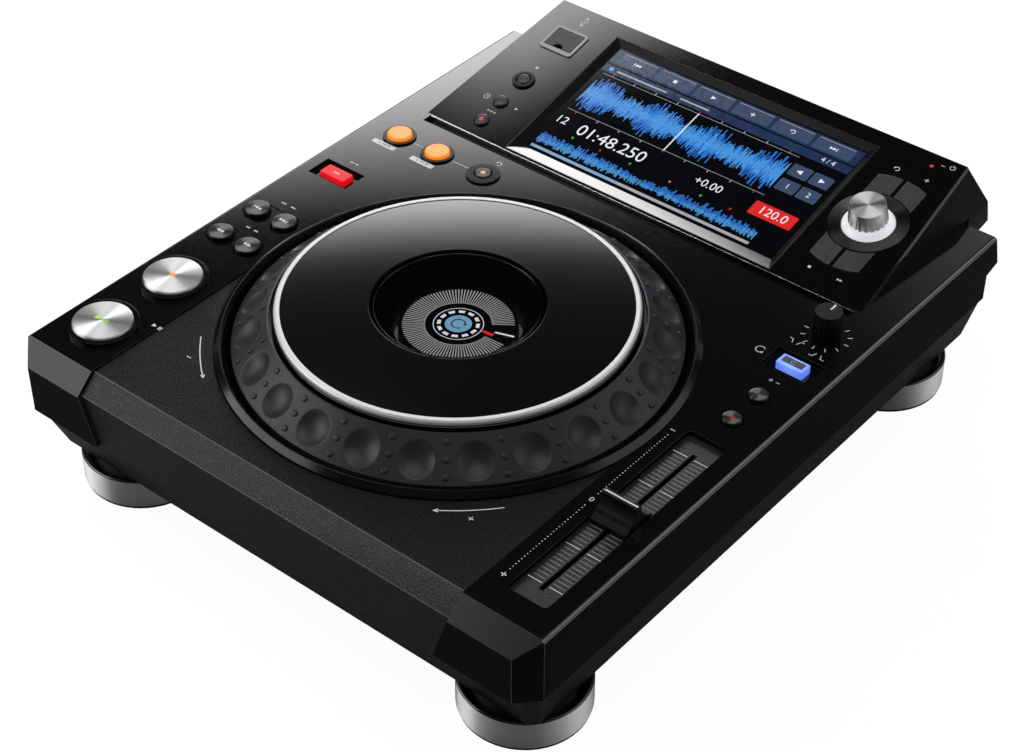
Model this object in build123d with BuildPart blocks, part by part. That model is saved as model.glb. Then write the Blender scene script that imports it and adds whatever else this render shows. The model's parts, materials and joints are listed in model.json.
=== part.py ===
from build123d import *
import math
import os

# DJ media player: a tabletop deck with a jog dial, a tilted touch screen, a tempo fader and ringed feet.
# Millimetres. Origin on the table under the middle of the overall box, +X to the user's right,
# +Y to the back, +Z up. Distances called dist run back from the top plate's front edge, distances called
# drop run down from the top plate, and heights on the tilted display face are square to that face.

# Jog wheel: radii about its own axis, heights over the top plate
surround_r = 112.5
surround_slope_w = 2.9
surround_rim_rise = 2.6
surround_rim_w = 0.6
surround_lip_rise = 0.3
surround_ring_w = 6.5
surround_throat = 0.4
surround_throat_drop = 1.2
surround_drop = 6.0
surround_lap = 2.1
dial_gap = 1.5
dial_edge_rise = 0.4
dial_slope_w = 17.3
dial_top_rise = 15.0
dial_lip_w = 0.8
dial_ledge_rise = 12.0
dial_ledge_w = 4.4
dial_ledge_t = 3.0
dial_wall_t = 4.0
dial_skirt_drop = 9.5
dial_skirt_t = 3.5
dial_web_drop = 8.0
dial_web_t = 2.5
hub_t = 4.0
hub_rise = 1.0
dimple_count = 24
dimple_r = 8.5
dimple_depth = 2.4
dimple_edge_w = 8.1
jog_top_rise = 18.5
jog_plate_t = 2.5
jog_press = 0.4
press_gap = 0.1
jog_skirt_t = 2.0
jog_groove_w = 1.2
trim_w = 2.8
trim_rise = 2.3
trim_proud = 0.4
trim_chamfer = 0.8
trim_step_t = 2.2
window_r = 40.6
window_t = 1.5
window_ledge = 2.1
shade_low_r = 30.5
shade_low_rise = 6.5
shade_t = 1.4
post_r = 27.9
post_wall_t = 4.9
bush_t = 2.1
bush_top_drop = 3.0
bush_flange_w = 4.0
bush_flange_t = 3.0
bush_gap = 0.05
running_gap = 0.06
base_drop = 27.0
base_t = 2.0
base_inset = 2.0
base_wall_t = 3.0
jog_display_inset = 0.4
jog_display_rise = 5.4
jog_display_t = 1.2

# Cabinet
strip_w = 40.5
front_margin = 13.8
screen_gap = 17.9
plate_t = 2.6
wall_t = 2.5
rim_drop = 34.5
bevel_run = 9.8
bevel_drop = 9.0
corner_run = 9.0
corner_post_l = 14.0
side_round = 2.0
lip_run = 5.1
lip_drop = 17.8
lip_under = 2.7
rear_step = 4.6

# Front panel between the two blocks
panel_lap = 2.5
panel_draw = 8.5
panel_sink = 0.7
panel_inset = 1.6
panel_nose_inset = 2.2
panel_wall_t = 2.5
panel_tab_w = 8.0
panel_tab_l = 58.0
panel_tab_t = 2.0
panel_tab_dist = 8.0
fit_gap = 0.15

# Display unit: widths set in from the cabinet's sides, lengths along the tilted face
unit_inset = 19.0
unit_tilt = 12.8
unit_sink = 0.3
unit_face_l = 108.1
unit_side_lean = 18.6
hood_over = 11.7
hood_run = 11.9
hood_rise = 0.5
hood_bulge = 3.4
hood_back_drop = 13.0
hood_lip_w = 7.4
hood_foot_drop = 14.4
hood_gap = 0.4
unit_wall_t = 3.2
unit_nose_t = 1.9
unit_nose_l = 5.3
face_t = 2.0
groove_w = 5.7
bay_lap = 2.8
bay_back_lap = 7.4
skirt_t = 2.6
skirt_drop = 4.6
ledge_reach = 3.0
bezel_side = 51.8
bezel_low_s = 1.8
bezel_back = 9.8
bezel_t = 3.0
bezel_edge = 0.7
bezel_flange = 1.2
screen_side = 4.7
screen_front = 8.1
screen_back = 3.6
glass_lap = 0.8
glass_t = 1.0
lcd_t = 5.0
lcd_lap = 1.6

# USB port with its lid, on the display face
usb_side = 29.0
usb_back = 26.9
usb_w = 21.0
usb_l = 18.4
usb_rise = 0.8
usb_corner_r = 2.0
usb_frame_t = 3.0
lid_w = 16.8
lid_l = 12.4
lid_t = 1.6
lid_gap = 0.4
lid_pin_r = 0.5
lid_pin_l = 1.2
notch_r = 3.0
usb_socket_w = 13.1
usb_socket_l = 5.7
usb_socket_d = 13.0
usb_shell_t = 0.5
usb_socket_drop = 4.0

# Buttons: places called share are shares of the strip's length or width
button_gap = 0.3
button_travel = 1.0
flange_lap = 1.2
flange_gap = 0.3
flange_t = 1.4
stem_r = 2.0
switch_w = 6.0
switch_t = 1.1
switch_gap = 0.2
board_drop = 10.0
board_t = 1.6
board_gap = 3.5
strip_share = 0.469
disc_r = 14.3
disc_rise = 3.0
disc_bezel_r = 17.0
disc_bezel_rise = 2.0
play_share = 0.1044
cue_share = 0.2785
pair_r = 6.6
pair_rise = 2.0
pair_pitch = 18.0
pair_pocket_r = 7.8
pair_pocket_t = 0.6
search_share = 0.4371
track_share = 0.536
loop_r = 6.6
loop_rise = 2.4
loop_bezel_r = 8.8
loop_bezel_rise = 1.0
loop_share = 0.9022
loop_shift = 1.3
loop_pitch = 25.7
reloop_pitch = 30.0
reloop_share = 0.9045
reloop_r = 4.5
reloop_rise = 1.6
small_shift = 1.0
small_r = 4.8
small_rise = 2.0
tempo_range_share = 0.6895
master_tempo_share = 0.6093
crown_r = 0.9
well_w = 25.2
well_l = 14.8
well_d = 2.6
well_floor_t = 1.6
well_wall_t = 1.5
key_corner_r = 0.8
direction_shift = 0.9
direction_share = 0.7246
direction_w = 16.0
direction_l = 8.0
direction_rise = 0.4
jog_mode_share = 0.8017
jog_mode_w = 14.4
jog_mode_l = 7.6
jog_mode_rise = 1.0
face_button_rise = 1.6
face_button_r = 4.0
usb_stop_r = 3.7
usb_stop_bezel_r = 6.1
usb_stop_bezel_rise = 1.2
usb_stop_share = 0.4274
time_mode_share = 0.2498
quantize_share = 0.1008
face_board_drop = 9.4
board_post_r = 2.5

# Browse control, on the display face
browse_side = 28.3
browse_share = 0.4755
segment_ring_gap = 0.7
segment_l = 12.6
segment_gap = 1.1
segment_w = 12.6
segment_rise = 0.9
browse_ring_w = 6.3
browse_ring_gap = 0.3
browse_ring_t = 1.0
glow_r = 13.1
glow_draw = 2.5
glow_rise = 2.8
glow_t = 3.6
browse_push = 0.6
browse_knob_r = 9.9
browse_knob_draw = 0.9
browse_knob_rise = 12.8
browse_knob_gap = 1.0
browse_flutes = 20
flute_r = 0.9
knob_roof_t = 2.0
shaft_r = 3.0
shaft_foot_w = 1.0
shaft_foot_t = 1.2
bushing_t = 1.6
bushing_top = 1.6
encoder_w = 13.0
encoder_h = 8.0
encoder_wall_t = 1.5

# Speed knob
speed_share = 0.9077
speed_r = 6.7
speed_draw = 0.3
speed_rise = 14.6
speed_gap = 0.5
speed_flutes = 18
speed_bushing_t = 0.5
pot_w = 11.0
pot_h = 9.0

# Tempo fader
fader_shift = 0.5
fader_share = 0.2992
fader_open_w = 20.8
fader_open_share = 0.4893
fader_corner_r = 2.5
fader_plate_lap = 2.5
fader_plate_t = 1.4
fader_slot_w = 2.4
fader_stop_l = 12.8
fader_end_gap = 1.0
cap_w = 18.6
cap_l = 19.0
cap_rise = 9.8
cap_ridge_l = 3.4
cap_sag = 1.9
cap_gap = 0.7
cap_edge_t = 2.2
lever_t = 1.6
lever_l = 4.4
carriage_t = 2.4
carriage_l = 8.0
carriage_h = 3.0
fader_body_w = 12.0
fader_body_h = 10.0
fader_wall_t = 2.0

# Bottom chassis, boards and power supply
chassis_depth = 27.0
chassis_top_inset = 1.2
chassis_top_front = 6.5
chassis_top_corner = 6.0
chassis_low_inset = 8.7
chassis_low_back = 4.6
chassis_low_corner = 3.6
chassis_t = 2.0
chassis_lip_h = 4.0
chassis_lip_t = 2.0
boss_r = 3.5
boss_h = 8.0
main_board_spare = 116.0
main_board_l = 150.0
main_board_dist = 110.0
main_board_shift = 30.0
chip_w = 22.0
chip_t = 2.5
supply_w = 60.0
supply_l = 120.0
supply_h = 26.0
supply_side = 45.0
supply_dist = 190.0

# Rear panel and its sockets, places set in from the panel's ends
rear_inset = 35.0
rear_over = 11.0
rear_under = 5.0
rear_t = 1.5
rear_margin = 9.0
rear_lap = 4.0
socket_shift = 1.0
inlet_side = 30.0
inlet_w = 27.0
inlet_h = 19.8
inlet_d = 17.0
inlet_wall_t = 1.6
inlet_flange = 3.0
inlet_flange_t = 2.0
blade_w = 4.0
blade_t = 2.0
blade_l = 12.0
blade_pitch = 7.0
blade_raise = 2.5
jack_side = 62.0
jack_pitch = 16.0
jack_r = 4.15
jack_hole_r = 1.7
jack_l = 9.5
jack_collar_r = 5.6
jack_collar_t = 1.0
jack_block_h = 13.0
jack_block_d = 12.0
lan_x = -2.0
lan_w = 16.0
lan_h = 13.6
lan_open_w = 12.0
lan_open_h = 8.4
host_pitch = 32.0
host_w = 12.0
host_h = 11.2
host_open_w = 8.6
host_open_h = 7.8
socket_d = 16.0
socket_open_d = 11.0
power_side = 18.0
power_w = 12.0
power_h = 8.0
power_rise = 3.0
power_flange = 1.5

# Feet and screws
foot_h = 21.9
foot_side = 35.0
foot_front_dist = 30.9
foot_back_margin = 32.9
foot_r = 30.2
foot_ring_t = 2.8
foot_ring_top = 17.1
foot_ring_edge = 0.8
foot_pad_t = 1.6
foot_pad_inset = 1.4
foot_neck_inset = 8.2
foot_cone_h = 5.0
foot_gap = 0.1
screw_head_r = 2.8
screw_head_t = 1.4
screw_r = 1.45
screw_hole_r = 1.6
screw_l = 6.0
screw_side = 83.0
screw_shares = (0.0856, 0.4966, 0.9075)

# Places and radii worked out from the sizes above
tilt = math.radians(unit_tilt)
bevel_angle = math.atan2(bevel_drop, bevel_run)
through = 1.0
body_w = 2 * (surround_r + strip_w)
jog_dist = front_margin + surround_r
unit_dist = jog_dist + surround_r + screen_gap
face_back_dist = unit_dist + unit_face_l * math.cos(tilt)
deck_l = face_back_dist - hood_over
hood_dist = face_back_dist + hood_run
hood_back_dist = hood_dist + hood_bulge
hood_foot_dist = hood_back_dist - hood_lip_w
bay_back_dist = deck_l - bay_back_lap
chassis_drop = rim_drop + chassis_depth
rear_top_drop = rim_drop - rear_over
rear_low_drop = chassis_drop - rear_under
rear_mid_drop = (rear_top_drop + rear_low_drop) / 2
rear_h = rear_low_drop - rear_top_drop
socket_drop = rear_mid_drop + socket_shift

front_y = -(hood_back_dist - bevel_run) / 2
back_y = front_y + deck_l
nose_y = front_y - bevel_run
rear_y = back_y - rear_step
jog_y = front_y + jog_dist
chassis_z = foot_h
deck_z = chassis_z + chassis_drop
rim_z = deck_z - rim_drop
corner_x = body_w / 2 - corner_run
strip_x = surround_r + strip_share * strip_w
panel_half_w = surround_r - panel_lap
panel_low_half_w = panel_half_w - panel_draw

surround_rim_r = surround_r - surround_slope_w
surround_bore_r = surround_r - surround_ring_w
surround_flange_r = surround_r + surround_lap
dial_r = surround_bore_r - dial_gap
dial_top_r = dial_r - dial_slope_w
dial_ledge_in_r = dial_top_r - dial_lip_w - dial_ledge_w
dimple_ring_r = dial_r - dimple_edge_w
base_wall_r = surround_r - base_inset
jog_display_r = post_r - jog_display_inset

unit_half_w = body_w / 2 - unit_inset
bay_half_w = unit_half_w - bay_lap
bezel_w = 2 * (unit_half_w - bezel_side)
bezel_top_s = unit_face_l - bezel_back
screen_w = bezel_w - 2 * screen_side
screen_low_s = bezel_low_s + screen_front
screen_top_s = bezel_top_s - screen_back
usb_x = usb_side - unit_half_w
usb_s = unit_face_l - usb_back
usb_stop_s = usb_stop_share * unit_face_l
time_mode_s = time_mode_share * unit_face_l
quantize_s = quantize_share * unit_face_l
browse_x = unit_half_w - browse_side
browse_s = browse_share * unit_face_l
browse_ring_in_r = glow_r + browse_ring_gap
browse_ring_r = browse_ring_in_r + browse_ring_w
segment_in_r = browse_ring_r + segment_ring_gap
segment_out_r = segment_in_r + segment_l
glow_top_r = glow_r - glow_draw
browse_knob_top_r = browse_knob_r - browse_knob_draw
shaft_foot_r = shaft_r + shaft_foot_w
bushing_r = shaft_r + bushing_t
speed_top_r = speed_r - speed_draw
speed_bushing_r = shaft_r + speed_bushing_t
speed_dist = speed_share * unit_dist

fader_x = strip_x + fader_shift
fader_dist = fader_share * unit_dist
fader_open_l = fader_open_share * unit_dist
fader_travel = fader_open_l / 2 - fader_stop_l
chassis_low_half_w = body_w / 2 - chassis_low_inset
main_board_w = body_w - main_board_spare
supply_x = supply_side - body_w / 2
rear_half_w = body_w / 2 - rear_inset
inlet_x = inlet_side - rear_half_w
jack_x = rear_half_w - jack_side
host_x = lan_x - host_pitch
power_x = rear_half_w - power_side
foot_x = body_w / 2 - foot_side
foot_back_dist = deck_l - foot_back_margin
foot_pad_r = foot_r - foot_pad_inset
foot_neck_r = foot_r - foot_neck_inset
screw_x = body_w / 2 - screw_side

face_y = front_y + unit_dist
face_z = deck_z - unit_sink
face_plane = Plane(origin=(0, face_y, face_z), x_dir=(1, 0, 0), z_dir=(0, -math.sin(tilt), math.cos(tilt)))
face_back_y = front_y + face_back_dist
face_back_z = face_z + unit_face_l * math.sin(tilt)
jog_plane = Plane(origin=(0, jog_y, deck_z), x_dir=(1, 0, 0), z_dir=(0, -1, 0))
jog_axis = Axis((0, jog_y, 0), (0, 0, 1))
rear_plane = Plane(origin=(0, rear_y, deck_z - socket_drop), x_dir=(-1, 0, 0), z_dir=(0, 1, 0))

flange_drop = plate_t + flange_gap
stem_end_drop = board_drop - switch_t - switch_gap - button_travel
well_flange_drop = well_d + well_floor_t + flange_gap
face_flange_drop = face_t + flange_gap
face_stem_end_drop = face_board_drop - switch_t - switch_gap - button_travel

play_y = front_y + play_share * unit_dist
cue_y = front_y + cue_share * unit_dist
search_y = front_y + search_share * unit_dist
track_y = front_y + track_share * unit_dist
direction_y = front_y + direction_share * unit_dist
loop_y = front_y + loop_share * unit_dist
reloop_y = front_y + reloop_share * unit_dist
jog_mode_y = front_y + jog_mode_share * unit_dist
tempo_range_y = front_y + tempo_range_share * unit_dist
master_tempo_y = front_y + master_tempo_share * unit_dist
loop_in_x = loop_shift - strip_x
loop_out_x = loop_in_x + loop_pitch
reloop_x = loop_out_x + reloop_pitch
small_x = strip_x + small_shift
round_buttons = {
    "play_button": (-strip_x, play_y, disc_r, disc_rise),
    "cue_button": (-strip_x, cue_y, disc_r, disc_rise),
    "search_back": (-strip_x - pair_pitch / 2, search_y, pair_r, pair_rise),
    "search_forward": (-strip_x + pair_pitch / 2, search_y, pair_r, pair_rise),
    "track_back": (-strip_x - pair_pitch / 2, track_y, pair_r, pair_rise),
    "track_next": (-strip_x + pair_pitch / 2, track_y, pair_r, pair_rise),
    "loop_in": (loop_in_x, loop_y, loop_r, loop_rise),
    "loop_out": (loop_out_x, loop_y, loop_r, loop_rise),
    "reloop": (reloop_x, reloop_y, reloop_r, reloop_rise),
    "tempo_range": (small_x, tempo_range_y, small_r, small_rise),
    "master_tempo": (small_x, master_tempo_y, small_r, small_rise),
}
key_buttons = {
    "direction_button": (-strip_x - direction_shift, direction_y, direction_w, direction_l, direction_rise),
    "jog_mode": (strip_x, jog_mode_y, jog_mode_w, jog_mode_l, jog_mode_rise),
}
face_buttons = {
    "usb_stop": (usb_x, usb_stop_s, usb_stop_r),
    "time_mode": (usb_x, time_mode_s, face_button_r),
    "quantize": (usb_x, quantize_s, face_button_r),
}
segment_buttons = {
    "browse_back": (-1, 1),
    "tag_track": (1, 1),
    "track_filter": (-1, -1),
    "shortcut": (1, -1),
}
segment_mid_x = segment_gap + segment_w / 2
segment_mid_s = (segment_in_r + segment_out_r) / 2
bezels = [
    (-strip_x, play_y, disc_r, disc_bezel_r, disc_bezel_rise),
    (-strip_x, cue_y, disc_r, disc_bezel_r, disc_bezel_rise),
    (loop_in_x, loop_y, loop_r, loop_bezel_r, loop_bezel_rise),
    (loop_out_x, loop_y, loop_r, loop_bezel_r, loop_bezel_rise),
    (reloop_x, reloop_y, reloop_r, loop_bezel_r, loop_bezel_rise),
]
left_board_out_x = board_gap - body_w / 2
left_board_in_x = wall_t - surround_flange_r
left_board_front_y = play_y - disc_r
board_back_y = loop_y + disc_r
left_board_reach_x = reloop_x + 2 * reloop_r
right_board_front_y = master_tempo_y - 2 * small_r
left_posts = [
    (-strip_x - disc_r, (play_y + cue_y) / 2),
    (-strip_x + disc_r, (play_y + cue_y) / 2),
    (-strip_x - disc_r, (track_y + direction_y) / 2),
    (-strip_x, (direction_y + loop_y) / 2),
]
right_posts = [
    (strip_x - disc_r, (master_tempo_y + tempo_range_y) / 2),
    (strip_x + disc_r, (master_tempo_y + tempo_range_y) / 2),
    (strip_x - disc_r, front_y + speed_dist),
    (strip_x + disc_r, front_y + speed_dist),
]
feet = [
    (side * foot_x, front_y + dist)
    for side in (-1, 1)
    for dist in (foot_front_dist, foot_back_dist)
]
bottom_screws = [(side * screw_x, front_y + share * deck_l) for side in (-1, 1) for share in screw_shares]
main_board_x = main_board_shift
main_board_y = front_y + main_board_dist
boss_places = [
    (
        main_board_x + side * (main_board_w / 2 - 2 * boss_r),
        main_board_y + end * (main_board_l / 2 - 2 * boss_r),
    )
    for side in (-1, 1)
    for end in (-1, 1)
]
rear_screws = [
    (side * (rear_half_w - rear_margin / 2), end * (rear_h - rear_margin) / 2)
    for side in (-1, 1)
    for end in (-1, 1)
]

os.makedirs("parts", exist_ok=True)


def save(piece, name):
    """Labels a finished piece and writes it as its own file."""
    piece.label = name
    export_step(piece, f"parts/{name}.step")


# Upper cabinet: top plate, side skirts, front blocks and the overhanging rear lip
lip_y = back_y + lip_run
with BuildPart() as upper_cabinet:
    with BuildSketch(Plane.YZ):
        with BuildLine():
            Polyline(
                (front_y, deck_z),
                (back_y, deck_z),
                (lip_y, deck_z - lip_drop),
                (rear_y, deck_z - lip_drop - lip_under),
                (rear_y, rim_z),
                (nose_y, rim_z),
                (nose_y, deck_z - bevel_drop),
                close=True,
            )
        make_face()
    extrude(amount=body_w / 2, both=True)
    fillet(upper_cabinet.edges().filter_by(Axis.Y).group_by(Axis.Z)[-1], side_round)
    with BuildSketch(Plane.YZ):
        with BuildLine():
            Polyline(
                (
                    front_y + wall_t / math.sin(bevel_angle) - plate_t / math.tan(bevel_angle),
                    deck_z - plate_t,
                ),
                (back_y - wall_t, deck_z - plate_t),
                (lip_y - 2 * wall_t, deck_z - lip_drop + wall_t),
                (rear_y - wall_t, deck_z - lip_drop - lip_under + wall_t),
                (rear_y - wall_t, rim_z - through),
                (nose_y + wall_t, rim_z - through),
                (
                    nose_y + wall_t,
                    deck_z - (bevel_run - wall_t) * math.tan(bevel_angle) - wall_t / math.cos(bevel_angle),
                ),
                close=True,
            )
        make_face()
    extrude(amount=corner_x - wall_t, both=True, mode=Mode.SUBTRACT)
    with BuildSketch(Plane.XY.offset(rim_z - through)):
        with Locations((0, (nose_y + corner_post_l + rear_y - wall_t) / 2)):
            Rectangle(body_w - 2 * wall_t, rear_y - wall_t - nose_y - corner_post_l)
    extrude(amount=rim_drop + through - plate_t, mode=Mode.SUBTRACT)
    with BuildSketch(Plane.XY.offset(rim_z - through)):
        with BuildLine():
            Polyline(
                (corner_x, nose_y),
                (body_w / 2, front_y),
                (body_w / 2 + through, front_y),
                (body_w / 2 + through, nose_y - through),
                (corner_x, nose_y - through),
                close=True,
            )
        make_face()
        mirror(about=Plane.YZ)
    extrude(amount=rim_drop + 2 * through, mode=Mode.SUBTRACT)
    # Opening for the grained panel, through the plate and the front wall
    with BuildSketch(Plane.XZ.offset(-(jog_y - surround_r / 2))):
        with BuildLine():
            Polyline(
                (-panel_half_w - fit_gap, deck_z + through),
                (panel_half_w + fit_gap, deck_z + through),
                (panel_half_w + fit_gap, deck_z - bevel_drop),
                (panel_low_half_w + fit_gap, rim_z),
                (panel_low_half_w + fit_gap, rim_z - through),
                (-panel_low_half_w - fit_gap, rim_z - through),
                (-panel_low_half_w - fit_gap, rim_z),
                (-panel_half_w - fit_gap, deck_z - bevel_drop),
                close=True,
            )
        make_face()
    extrude(amount=jog_y - surround_r / 2 - nose_y + through, mode=Mode.SUBTRACT)
    with BuildSketch(Plane.XY.offset(deck_z + through)):
        with Locations((0, jog_y)):
            Circle(surround_r + fit_gap)
        with Locations((0, jog_y - surround_r / 4)):
            Rectangle(2 * (panel_half_w + fit_gap), surround_r / 2)
        with Locations((0, front_y + (unit_dist - groove_w + bay_back_dist) / 2)):
            Rectangle(2 * bay_half_w, bay_back_dist - unit_dist + groove_w)
        with Locations((fader_x, front_y + fader_dist)):
            RectangleRounded(fader_open_w, fader_open_l, fader_corner_r)
        for x, y, radius, rise in round_buttons.values():
            with Locations((x, y)):
                Circle(radius + button_gap)
        with Locations((strip_x, front_y + speed_dist)):
            Circle(speed_bushing_r + fit_gap)
    extrude(amount=-plate_t - 2 * through, mode=Mode.SUBTRACT)
    with BuildSketch(Plane.XY.offset(deck_z)):
        for pair_y in (search_y, track_y):
            with Locations((-strip_x, pair_y)):
                SlotCenterToCenter(pair_pitch, 2 * pair_pocket_r)
    extrude(amount=-pair_pocket_t, mode=Mode.SUBTRACT)
    # Sunken wells for the two rectangular buttons
    with BuildSketch(Plane.XY.offset(deck_z - plate_t)):
        for x, y, key_w, key_l, rise in key_buttons.values():
            with Locations((x, y)):
                Rectangle(well_w + 2 * well_wall_t, well_l + 2 * well_wall_t)
    extrude(amount=-(well_d + well_floor_t - plate_t))
    with BuildSketch(Plane.XY.offset(deck_z)):
        for x, y, key_w, key_l, rise in key_buttons.values():
            with Locations((x, y)):
                Rectangle(well_w, well_l)
    extrude(amount=-well_d, mode=Mode.SUBTRACT)
    with BuildSketch(Plane.XY.offset(deck_z)):
        for x, y, key_w, key_l, rise in key_buttons.values():
            with Locations((x, y)):
                Rectangle(key_w + 2 * button_gap, key_l + 2 * button_gap)
    extrude(amount=-well_d - well_floor_t - through, mode=Mode.SUBTRACT)
    # Posts that carry the switch boards
    with BuildSketch(Plane.XY.offset(deck_z - plate_t)):
        with Locations(left_posts + right_posts):
            Circle(board_post_r)
    extrude(amount=-(board_drop - plate_t))
    # Opening behind the rear panel
    with BuildSketch(Plane.XZ.offset(-(rear_y + through))):
        with Locations((0, (deck_z - rear_top_drop - rear_lap + rim_z - through) / 2)):
            Rectangle(2 * (rear_half_w - rear_margin), rim_drop - rear_top_drop - rear_lap + through)
    extrude(amount=wall_t + 2 * through, mode=Mode.SUBTRACT)
save(upper_cabinet.part, "upper_cabinet")

# Grained front panel: a sunken top apron, a bevel and a front wall, with tabs under the top plate
apron_z = deck_z - panel_sink
panel_nose_y = nose_y + panel_nose_inset
panel_bevel_y = front_y + panel_inset / math.sin(bevel_angle) - panel_sink / math.tan(bevel_angle)
panel_slope_drop = (front_y - panel_nose_y) * math.tan(bevel_angle)
panel_bevel_z = deck_z - panel_slope_drop - panel_inset / math.cos(bevel_angle)
panel_in_y = panel_bevel_y + panel_wall_t * (1 / math.sin(bevel_angle) - 1 / math.tan(bevel_angle))
panel_in_z = panel_bevel_z - panel_wall_t * (1 / math.cos(bevel_angle) - math.tan(bevel_angle))
with BuildPart() as front_panel:
    with BuildSketch(Plane.YZ):
        with BuildLine():
            Polyline(
                (panel_bevel_y, apron_z),
                (jog_y, apron_z),
                (jog_y, apron_z - panel_wall_t),
                (panel_in_y, apron_z - panel_wall_t),
                (panel_nose_y + panel_wall_t, panel_in_z),
                (panel_nose_y + panel_wall_t, rim_z + fit_gap),
                (panel_nose_y, rim_z + fit_gap),
                (panel_nose_y, panel_bevel_z),
                close=True,
            )
        make_face()
    extrude(amount=panel_half_w, both=True)
    with BuildSketch(Plane.XZ.offset(-jog_y)):
        with BuildLine():
            Polyline(
                (-panel_half_w, deck_z),
                (panel_half_w, deck_z),
                (panel_half_w, deck_z - bevel_drop),
                (panel_low_half_w, rim_z),
                (-panel_low_half_w, rim_z),
                (-panel_half_w, deck_z - bevel_drop),
                close=True,
            )
        make_face()
    extrude(amount=jog_y - nose_y, mode=Mode.INTERSECT)
    with BuildSketch(Plane.XY.offset(deck_z)):
        with Locations((0, jog_y)):
            Circle(surround_r + fit_gap)
    extrude(amount=-rim_drop, mode=Mode.SUBTRACT)
    with BuildSketch(Plane.XY.offset(deck_z - plate_t)):
        for side in (-1, 1):
            with Locations((side * panel_half_w, front_y + panel_tab_dist + panel_tab_l / 2)):
                Rectangle(panel_tab_w, panel_tab_l)
    extrude(amount=-panel_tab_t)
save(front_panel.part, "front_panel")

# Jog surround: a raised ring with a sloped skirt, a narrow rim and a polished throat
surround_flange_drop = panel_sink + panel_wall_t
with BuildPart() as jog_surround:
    with BuildSketch(jog_plane):
        with BuildLine():
            Polyline(
                (surround_r, -surround_flange_drop),
                (surround_r, surround_lip_rise),
                (surround_rim_r + surround_rim_w / 2, surround_rim_rise),
                (surround_rim_r - surround_rim_w / 2, surround_rim_rise),
                (surround_bore_r + surround_throat, -surround_throat_drop),
                (surround_bore_r, -surround_drop),
                (surround_flange_r, -surround_drop),
                (surround_flange_r, -surround_flange_drop),
                close=True,
            )
        make_face()
    revolve(axis=jog_axis)
save(jog_surround.part, "jog_surround")

# Jog base: the well under the dial, with the hollow post that carries the bush and the small display
with BuildPart() as jog_base:
    with BuildSketch(jog_plane):
        with BuildLine():
            Polyline(
                (post_r - post_wall_t, -base_drop),
                (base_wall_r, -base_drop),
                (base_wall_r, -surround_drop),
                (base_wall_r - base_wall_t, -surround_drop),
                (base_wall_r - base_wall_t, -base_drop + base_t),
                (post_r, -base_drop + base_t),
                (post_r, jog_display_rise - jog_display_t),
                (post_r - post_wall_t, jog_display_rise - jog_display_t),
                close=True,
            )
        make_face()
    revolve(axis=jog_axis)
save(jog_base.part, "jog_base")

# Jog bush: a flanged plain bearing on the post
bush_r = post_r + bush_gap + bush_t
bush_flange_r = bush_r + bush_flange_w
with BuildPart() as jog_bush:
    with BuildSketch(jog_plane):
        with BuildLine():
            Polyline(
                (post_r + bush_gap, -base_drop + base_t),
                (bush_flange_r, -base_drop + base_t),
                (bush_flange_r, -base_drop + base_t + bush_flange_t),
                (bush_r, -base_drop + base_t + bush_flange_t),
                (bush_r, -bush_top_drop),
                (post_r + bush_gap, -bush_top_drop),
                close=True,
            )
        make_face()
    revolve(axis=jog_axis)
save(jog_bush.part, "jog_bush")

# Small round display on top of the post
with BuildPart() as jog_display:
    with BuildSketch(Plane.XY.offset(deck_z + jog_display_rise)):
        with Locations((0, jog_y)):
            Circle(jog_display_r)
    extrude(amount=-jog_display_t)
save(jog_display.part, "jog_display")

# Jog dial: hub, web and the sloped outer ring with its finger dimples
hub_bore_r = bush_r + running_gap
hub_r = hub_bore_r + hub_t
hub_low_drop = base_drop - base_t - bush_flange_t - running_gap
dial_slope = math.atan2(dial_top_rise - dial_edge_rise, dial_r - dial_top_r)
dimple_rise = dial_edge_rise + (dial_r - dimple_ring_r) * math.tan(dial_slope)
dimple_ball_r = (dimple_r**2 + dimple_depth**2) / (2 * dimple_depth)
dimple_lift = dimple_ball_r - dimple_depth
with BuildPart() as jog_dial:
    with BuildSketch(jog_plane):
        with BuildLine():
            Polyline(
                (hub_bore_r, -hub_low_drop),
                (hub_r, -hub_low_drop),
                (hub_r, -dial_web_drop),
                (dial_r - dial_skirt_t, -dial_web_drop),
                (dial_r - dial_skirt_t, -dial_skirt_drop),
                (dial_r, -dial_skirt_drop),
                (dial_r, dial_edge_rise),
                (dial_top_r, dial_top_rise),
                (dial_top_r - dial_lip_w, dial_top_rise),
                (dial_top_r - dial_lip_w, dial_ledge_rise),
                (dial_ledge_in_r, dial_ledge_rise),
                (dial_ledge_in_r, dial_ledge_rise - dial_ledge_t),
                (dial_r - dial_wall_t, dial_web_t - dial_web_drop + dial_wall_t),
                (dial_r - dial_wall_t, dial_web_t - dial_web_drop),
                (hub_r, dial_web_t - dial_web_drop),
                (hub_r, hub_rise),
                (hub_bore_r, hub_rise),
                close=True,
            )
        make_face()
    revolve(axis=jog_axis)
    with Locations((0, jog_y, deck_z + dimple_rise + dimple_lift * math.cos(dial_slope))):
        with PolarLocations(dimple_ring_r + dimple_lift * math.sin(dial_slope), dimple_count):
            Sphere(dimple_ball_r, mode=Mode.SUBTRACT)
save(jog_dial.part, "jog_dial")

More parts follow.
